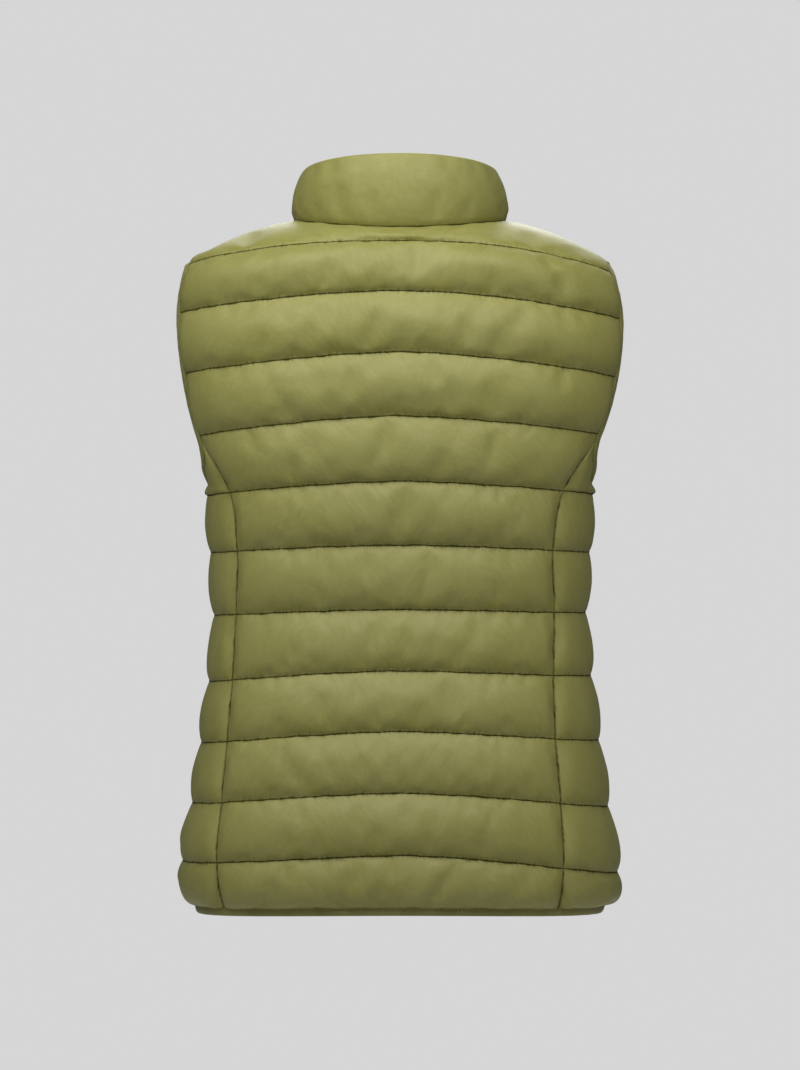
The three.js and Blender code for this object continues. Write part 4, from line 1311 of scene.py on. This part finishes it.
def dress_solid(name, material, bevel):
    """A CAD node's own shape with softened edges."""
    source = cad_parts[name]
    piece = bpy.data.objects.new(name + "_dressed", source.data.copy())
    bpy.context.collection.objects.link(piece)
    piece.data.materials.clear()
    piece.data.materials.append(bpy.data.materials[material])
    activate(piece)
    bpy.ops.object.mode_set(mode="EDIT")
    bpy.ops.mesh.select_all(action="SELECT")
    bpy.ops.mesh.remove_doubles(threshold=1e-6)
    bpy.ops.mesh.dissolve_limited(angle_limit=math.radians(2))
    bpy.ops.object.mode_set(mode="OBJECT")
    rounded = piece.modifiers.new("Rounded", "BEVEL")
    rounded.width = bevel
    rounded.segments = 3
    rounded.limit_method = "ANGLE"
    rounded.angle_limit = math.radians(40)
    bpy.ops.object.modifier_apply(modifier="Rounded")
    bpy.ops.object.shade_smooth_by_angle(angle=math.radians(35))
    deselect_all()
    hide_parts(name)
    return piece


# ------------------------------------------------------------------ stage

class StageSizes(bpy.types.PropertyGroup):
    camera_distance: length("Camera distance", "From the camera to the garment's middle", 4.0)
    camera_z: length("Camera height", "Height of the camera, level with the garment's middle", -0.2817)
    lens: number("Lens", "Focal length in millimetres", 149.5)
    floor_z: length("Floor height", "Height of the floor, below the origin", -1.1)
    backdrop: number("Backdrop", "Brightness of the plain surroundings", 0.672)
    ambient: number("Ambient", "Strength of the light from all round", 0.10)
    key_power: number("Key light", "Power of the soft light above the back, in watts", 20.5)
    fill_power: number("Fill light", "Power of the soft light from far behind, in watts", 9.0)
    front_power: number("Front light", "Power of the light on the zip's side, in watts", 47.15)
    floor: colour("Floor", "Pale plain floor", (0.72, 0.72, 0.72))
    floor_glow: number("Floor brightness", "Light added to the floor, for the camera alone", 0.3)


def soft_light(name, power, size, spot, target):
    light = bpy.data.lights.new(name, "AREA")
    light.shape = "ELLIPSE"
    light.size, light.size_y = size
    light.energy = power
    lamp = bpy.data.objects.new(name, light)
    bpy.context.collection.objects.link(lamp)
    lamp.location = spot
    lamp.rotation_euler = (Vector(target) - Vector(spot)).to_track_quat("-Z", "Y").to_euler()
    return lamp


def surroundings(sizes):
    world = bpy.data.worlds.new("Plain studio")
    world.use_nodes = True
    tree = world.node_tree
    graph = Graph(tree)
    tree.nodes.clear()
    seen = graph.node("ShaderNodeBackground")
    seen.inputs["Color"].default_value = rgba((sizes.backdrop,) * 3)
    given = graph.node("ShaderNodeBackground")
    given.inputs["Color"].default_value = (1, 1, 1, 1)
    given.inputs["Strength"].default_value = sizes.ambient
    path = graph.node("ShaderNodeLightPath")
    mixed = graph.node("ShaderNodeMixShader")
    graph.put(path.outputs["Is Camera Ray"], mixed.inputs[0])
    graph.put(given.outputs[0], mixed.inputs[1])
    graph.put(seen.outputs[0], mixed.inputs[2])
    output = graph.node("ShaderNodeOutputWorld")
    graph.put(mixed.outputs[0], output.inputs[0])
    bpy.context.scene.world = world


# ------------------------------------------------------------------ operators

GARMENT = {}


class PUFFER_OT_finishes(bpy.types.Operator):
    """Makes the cloth, thread, moulding and metal finishes"""
    bl_idname = "puffer.finishes"
    bl_label = "Finishes"

    def execute(self, context):
        make_finishes()
        return {"FINISHED"}


class PUFFER_OT_shell(bpy.types.Operator):
    """Makes the quilted panels and the collar, and lets their padding settle"""
    bl_idname = "puffer.shell"
    bl_label = "Shell and Padding"

    def execute(self, context):
        sizes = context.scene.puffer_padding
        panels = make_panels()
        stand = Collar()
        grids = [(name, panel.points + panel.normals * panel.lift()[..., None], panel.sewn(),
                  panel.facing) for name, panel in panels.items()]
        grids.append(("collar", stand.points, stand.held(), stand.facing))
        settled = puffed(grids)
        shell = bpy.data.materials["Outer nylon"]
        walls = {}
        for offset, (name, panel) in enumerate(panels.items()):
            uv = np.stack([panel.across + 0.7 * offset, -panel.down], -1)
            distances = {"to_seam": panel.to_seam, "to_edge": panel.to_edge,
                         "row_place": np.broadcast_to(panel.step[:, None], panel.level.shape)}
            inner = panel.points - panel.normals * sizes.wall
            wall = closed_wall(name + "_quilted", settled[offset], inner, panel.facing, uv,
                               distances, 4, 2)
            walls[name] = finish_wall(wall, name, shell)
        uv = np.stack([stand.across + 5.1, stand.down], -1)
        distances = {"to_seam": stand.to_seam, "to_edge": stand.to_edge,
                     "row_place": np.full(stand.down.shape, 0.5)}
        wall = closed_wall("collar_quilted", settled[-1], stand.inner, stand.facing, uv,
                           distances, 4, 2)
        finish_wall(wall, "collar", shell)
        GARMENT["panels"], GARMENT["walls"] = panels, walls
        return {"FINISHED"}


class PUFFER_OT_bindings(bpy.types.Operator):
    """Makes the elastic bindings of the armholes and the hem"""
    bl_idname = "puffer.bindings"
    bl_label = "Bindings"

    def execute(self, context):
        panels = GARMENT["panels"]
        seams = []
        for side in (1, -1):
            line, normals = armhole_line(side, panels)
            strip, seam, out, total = binding_strip(
                side_name(side, "armhole_binding") + "_folded", line, normals,
                ARMHOLE_MIDDLE * np.array([side, 1, 1]), BINDING_WIDTH, True)
            seams.append(stitch_frames(seam, out, True))
        line, normals = hem_line(panels)
        strip, seam, out, total = binding_strip(
            "hem_binding_folded", line, normals, np.array([0, 0, -100.0]), HEM_BINDING_WIDTH, False)
        seams.append(stitch_frames(seam, out))
        GARMENT["binding seams"] = seams
        return {"FINISHED"}


class PUFFER_OT_sewing(bpy.types.Operator):
    """Sews the quilting and the bindings with single stitches of thread"""
    bl_idname = "puffer.sewing"
    bl_label = "Sewing"

    def execute(self, context):
        seams = []
        lift = 0.3 * context.scene.puffer_trim.thread_radius
        for name, panel in GARMENT["panels"].items():
            count, columns = panel.level.shape
            shell = mesh_points(GARMENT["walls"][name])[:count * columns].reshape(count, columns, 3)
            for ring in panel.seam_rings():
                seams.append(stitch_frames(shell[ring] + panel.normals[ring] * lift,
                                           panel.normals[ring]))
        sew("quilting_stitches", seams)
        sew("binding_stitches", GARMENT["binding seams"])
        return {"FINISHED"}


class PUFFER_OT_zip(bpy.types.Operator):
    """Makes the zip: tapes, teeth, slider, pull tab and bottom box"""
    bl_idname = "puffer.zip"
    bl_label = "Zip"

    def execute(self, context):
        sizes = context.scene.puffer_zip
        for side in (1, -1):
            zip_tape(side)
        tooth = model_tooth()
        shape = mesh_points(tooth)
        faces = [list(face.vertices) for face in tooth.data.polygons]
        bpy.data.objects.remove(tooth)
        foot = seam_points(np.array([180.0]))[-1][0, 2] - HEM_BINDING_WIDTH + BOX_HEIGHT
        points, every = [], []
        for side in (1, -1):
            start = foot - TEETH_IN_BOX + (0 if side > 0 else sizes.tooth_pitch / 2)
            line, out = zip_curve(start, SLIDER_FOOT_Z + TEETH_IN_SLIDER, sizes.tooth_pitch)
            along = unit(np.cross(np.array([1.0, 0, 0]), out))
            for spot, way, up in zip(line, out, along):
                base = sum(len(part) for part in points)
                points.append(spot + shape[:, :1] * (side, 0, 0) + shape[:, 1:2] * way
                              + shape[:, 2:] * up)
                turned = faces if side > 0 else [face[::-1] for face in faces]
                every += [[base + corner for corner in face] for face in turned]
        chain = new_piece("zip_teeth", np.concatenate(points), every)
        recalculate_outside(chain)
        activate(chain)
        bpy.ops.object.shade_smooth_by_angle(angle=math.radians(40))
        deselect_all()
        chain.data.materials.append(bpy.data.materials["Moulded teeth"])
        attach(chain, "garment")
        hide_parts("zip_chain")
        for name, material, bevel, slot, body in (
                ("zip_slider", "Lacquered metal", 0.0003, "zip_metal", "garment"),
                ("zip_pull_tab", "Lacquered metal", 0.0003, "zip_metal", "pull_tab"),
                ("zip_bottom_box", "Moulded teeth", 0.0006, "zip_teeth", "garment")):
            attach(dress_solid(name, material, bevel), body)
        return {"FINISHED"}


class PUFFER_OT_stage(bpy.types.Operator):
    """Sets up the floor, the soft light and the camera"""
    bl_idname = "puffer.stage"
    bl_label = "Stage"

    def execute(self, context):
        sizes = context.scene.puffer_stage
        deselect_all()
        bpy.ops.mesh.primitive_circle_add(
            vertices=96, radius=2.2, fill_type="NGON", location=(0, 0, sizes.floor_z))
        floor = context.object
        floor.name = "studio_floor"
        bpy.ops.object.transform_apply(location=True)
        graph, shader = new_material("Pale floor", 0.8)
        shader.inputs["Base Color"].default_value = rgba(sizes.floor)
        shader.inputs["Emission Color"].default_value = (1, 1, 1, 1)
        seen = graph.node("ShaderNodeLightPath").outputs["Is Camera Ray"]
        glow = graph.math("MULTIPLY", seen, sizes.floor_glow)
        graph.put(glow, shader.inputs["Emission Strength"])
        floor.data.materials.append(bpy.data.materials["Pale floor"])
        soft_light("Key light", sizes.key_power, (2.4, 0.9), (-0.12, -0.8, 0.75), (0, 0, -0.1))
        soft_light("Fill light", sizes.fill_power, (2.2, 2.2), (-0.2, -3.2, 0.1), (0, 0, -0.3))
        soft_light("Front light", sizes.front_power, (2.0, 2.0), (0.2, 2.8, 1.5), (0, 0, -0.2))
        surroundings(sizes)
        lens = bpy.data.cameras.new("Camera")
        lens.sensor_width = 36
        lens.lens = sizes.lens
        lens.clip_start, lens.clip_end = 0.05, 50
        camera = bpy.data.objects.new("Camera", lens)
        context.collection.objects.link(camera)
        camera.location = (0, -sizes.camera_distance, sizes.camera_z)
        camera.rotation_euler = (math.pi / 2, 0, 0)
        context.scene.camera = camera
        context.scene.view_settings.view_transform = "Standard"
        deselect_all()
        return {"FINISHED"}


class PUFFER_PT_panel(bpy.types.Panel):
    """Sizes, colours and steps of the puffer jacket"""
    bl_label = "Sleeveless Puffer Jacket"
    bl_space_type = "VIEW_3D"
    bl_region_type = "UI"
    bl_category = "Puffer"

    def draw(self, context):
        for kind in (PUFFER_OT_finishes, PUFFER_OT_shell, PUFFER_OT_bindings, PUFFER_OT_sewing,
                     PUFFER_OT_zip, PUFFER_OT_stage):
            self.layout.operator(kind.bl_idname)
        for name in PROPERTY_GROUPS:
            box = self.layout.box()
            box.label(text=name.replace("puffer_", "").capitalize())
            group = getattr(context.scene, name)
            for key in group.__annotations__:
                box.prop(group, key)


PROPERTY_GROUPS = {
    "puffer_padding": PaddingSizes,
    "puffer_trim": TrimSizes,
    "puffer_zip": ZipSizes,
    "puffer_finish": FinishColours,
    "puffer_stage": StageSizes,
}
CLASSES = (*PROPERTY_GROUPS.values(), PUFFER_OT_finishes, PUFFER_OT_shell, PUFFER_OT_bindings,
           PUFFER_OT_sewing, PUFFER_OT_zip, PUFFER_OT_stage, PUFFER_PT_panel)


def register():
    for kind in CLASSES:
        bpy.utils.register_class(kind)
    for name, kind in PROPERTY_GROUPS.items():
        setattr(bpy.types.Scene, name, bpy.props.PointerProperty(type=kind))


def unregister():
    for name in PROPERTY_GROUPS:
        delattr(bpy.types.Scene, name)
    for kind in reversed(CLASSES):
        bpy.utils.unregister_class(kind)


def main():
    register()
    bpy.ops.puffer.finishes()
    bpy.ops.puffer.shell()
    bpy.ops.puffer.bindings()
    bpy.ops.puffer.sewing()
    bpy.ops.puffer.zip()
    bpy.ops.puffer.stage()


if __name__ == "__main__":
    main()
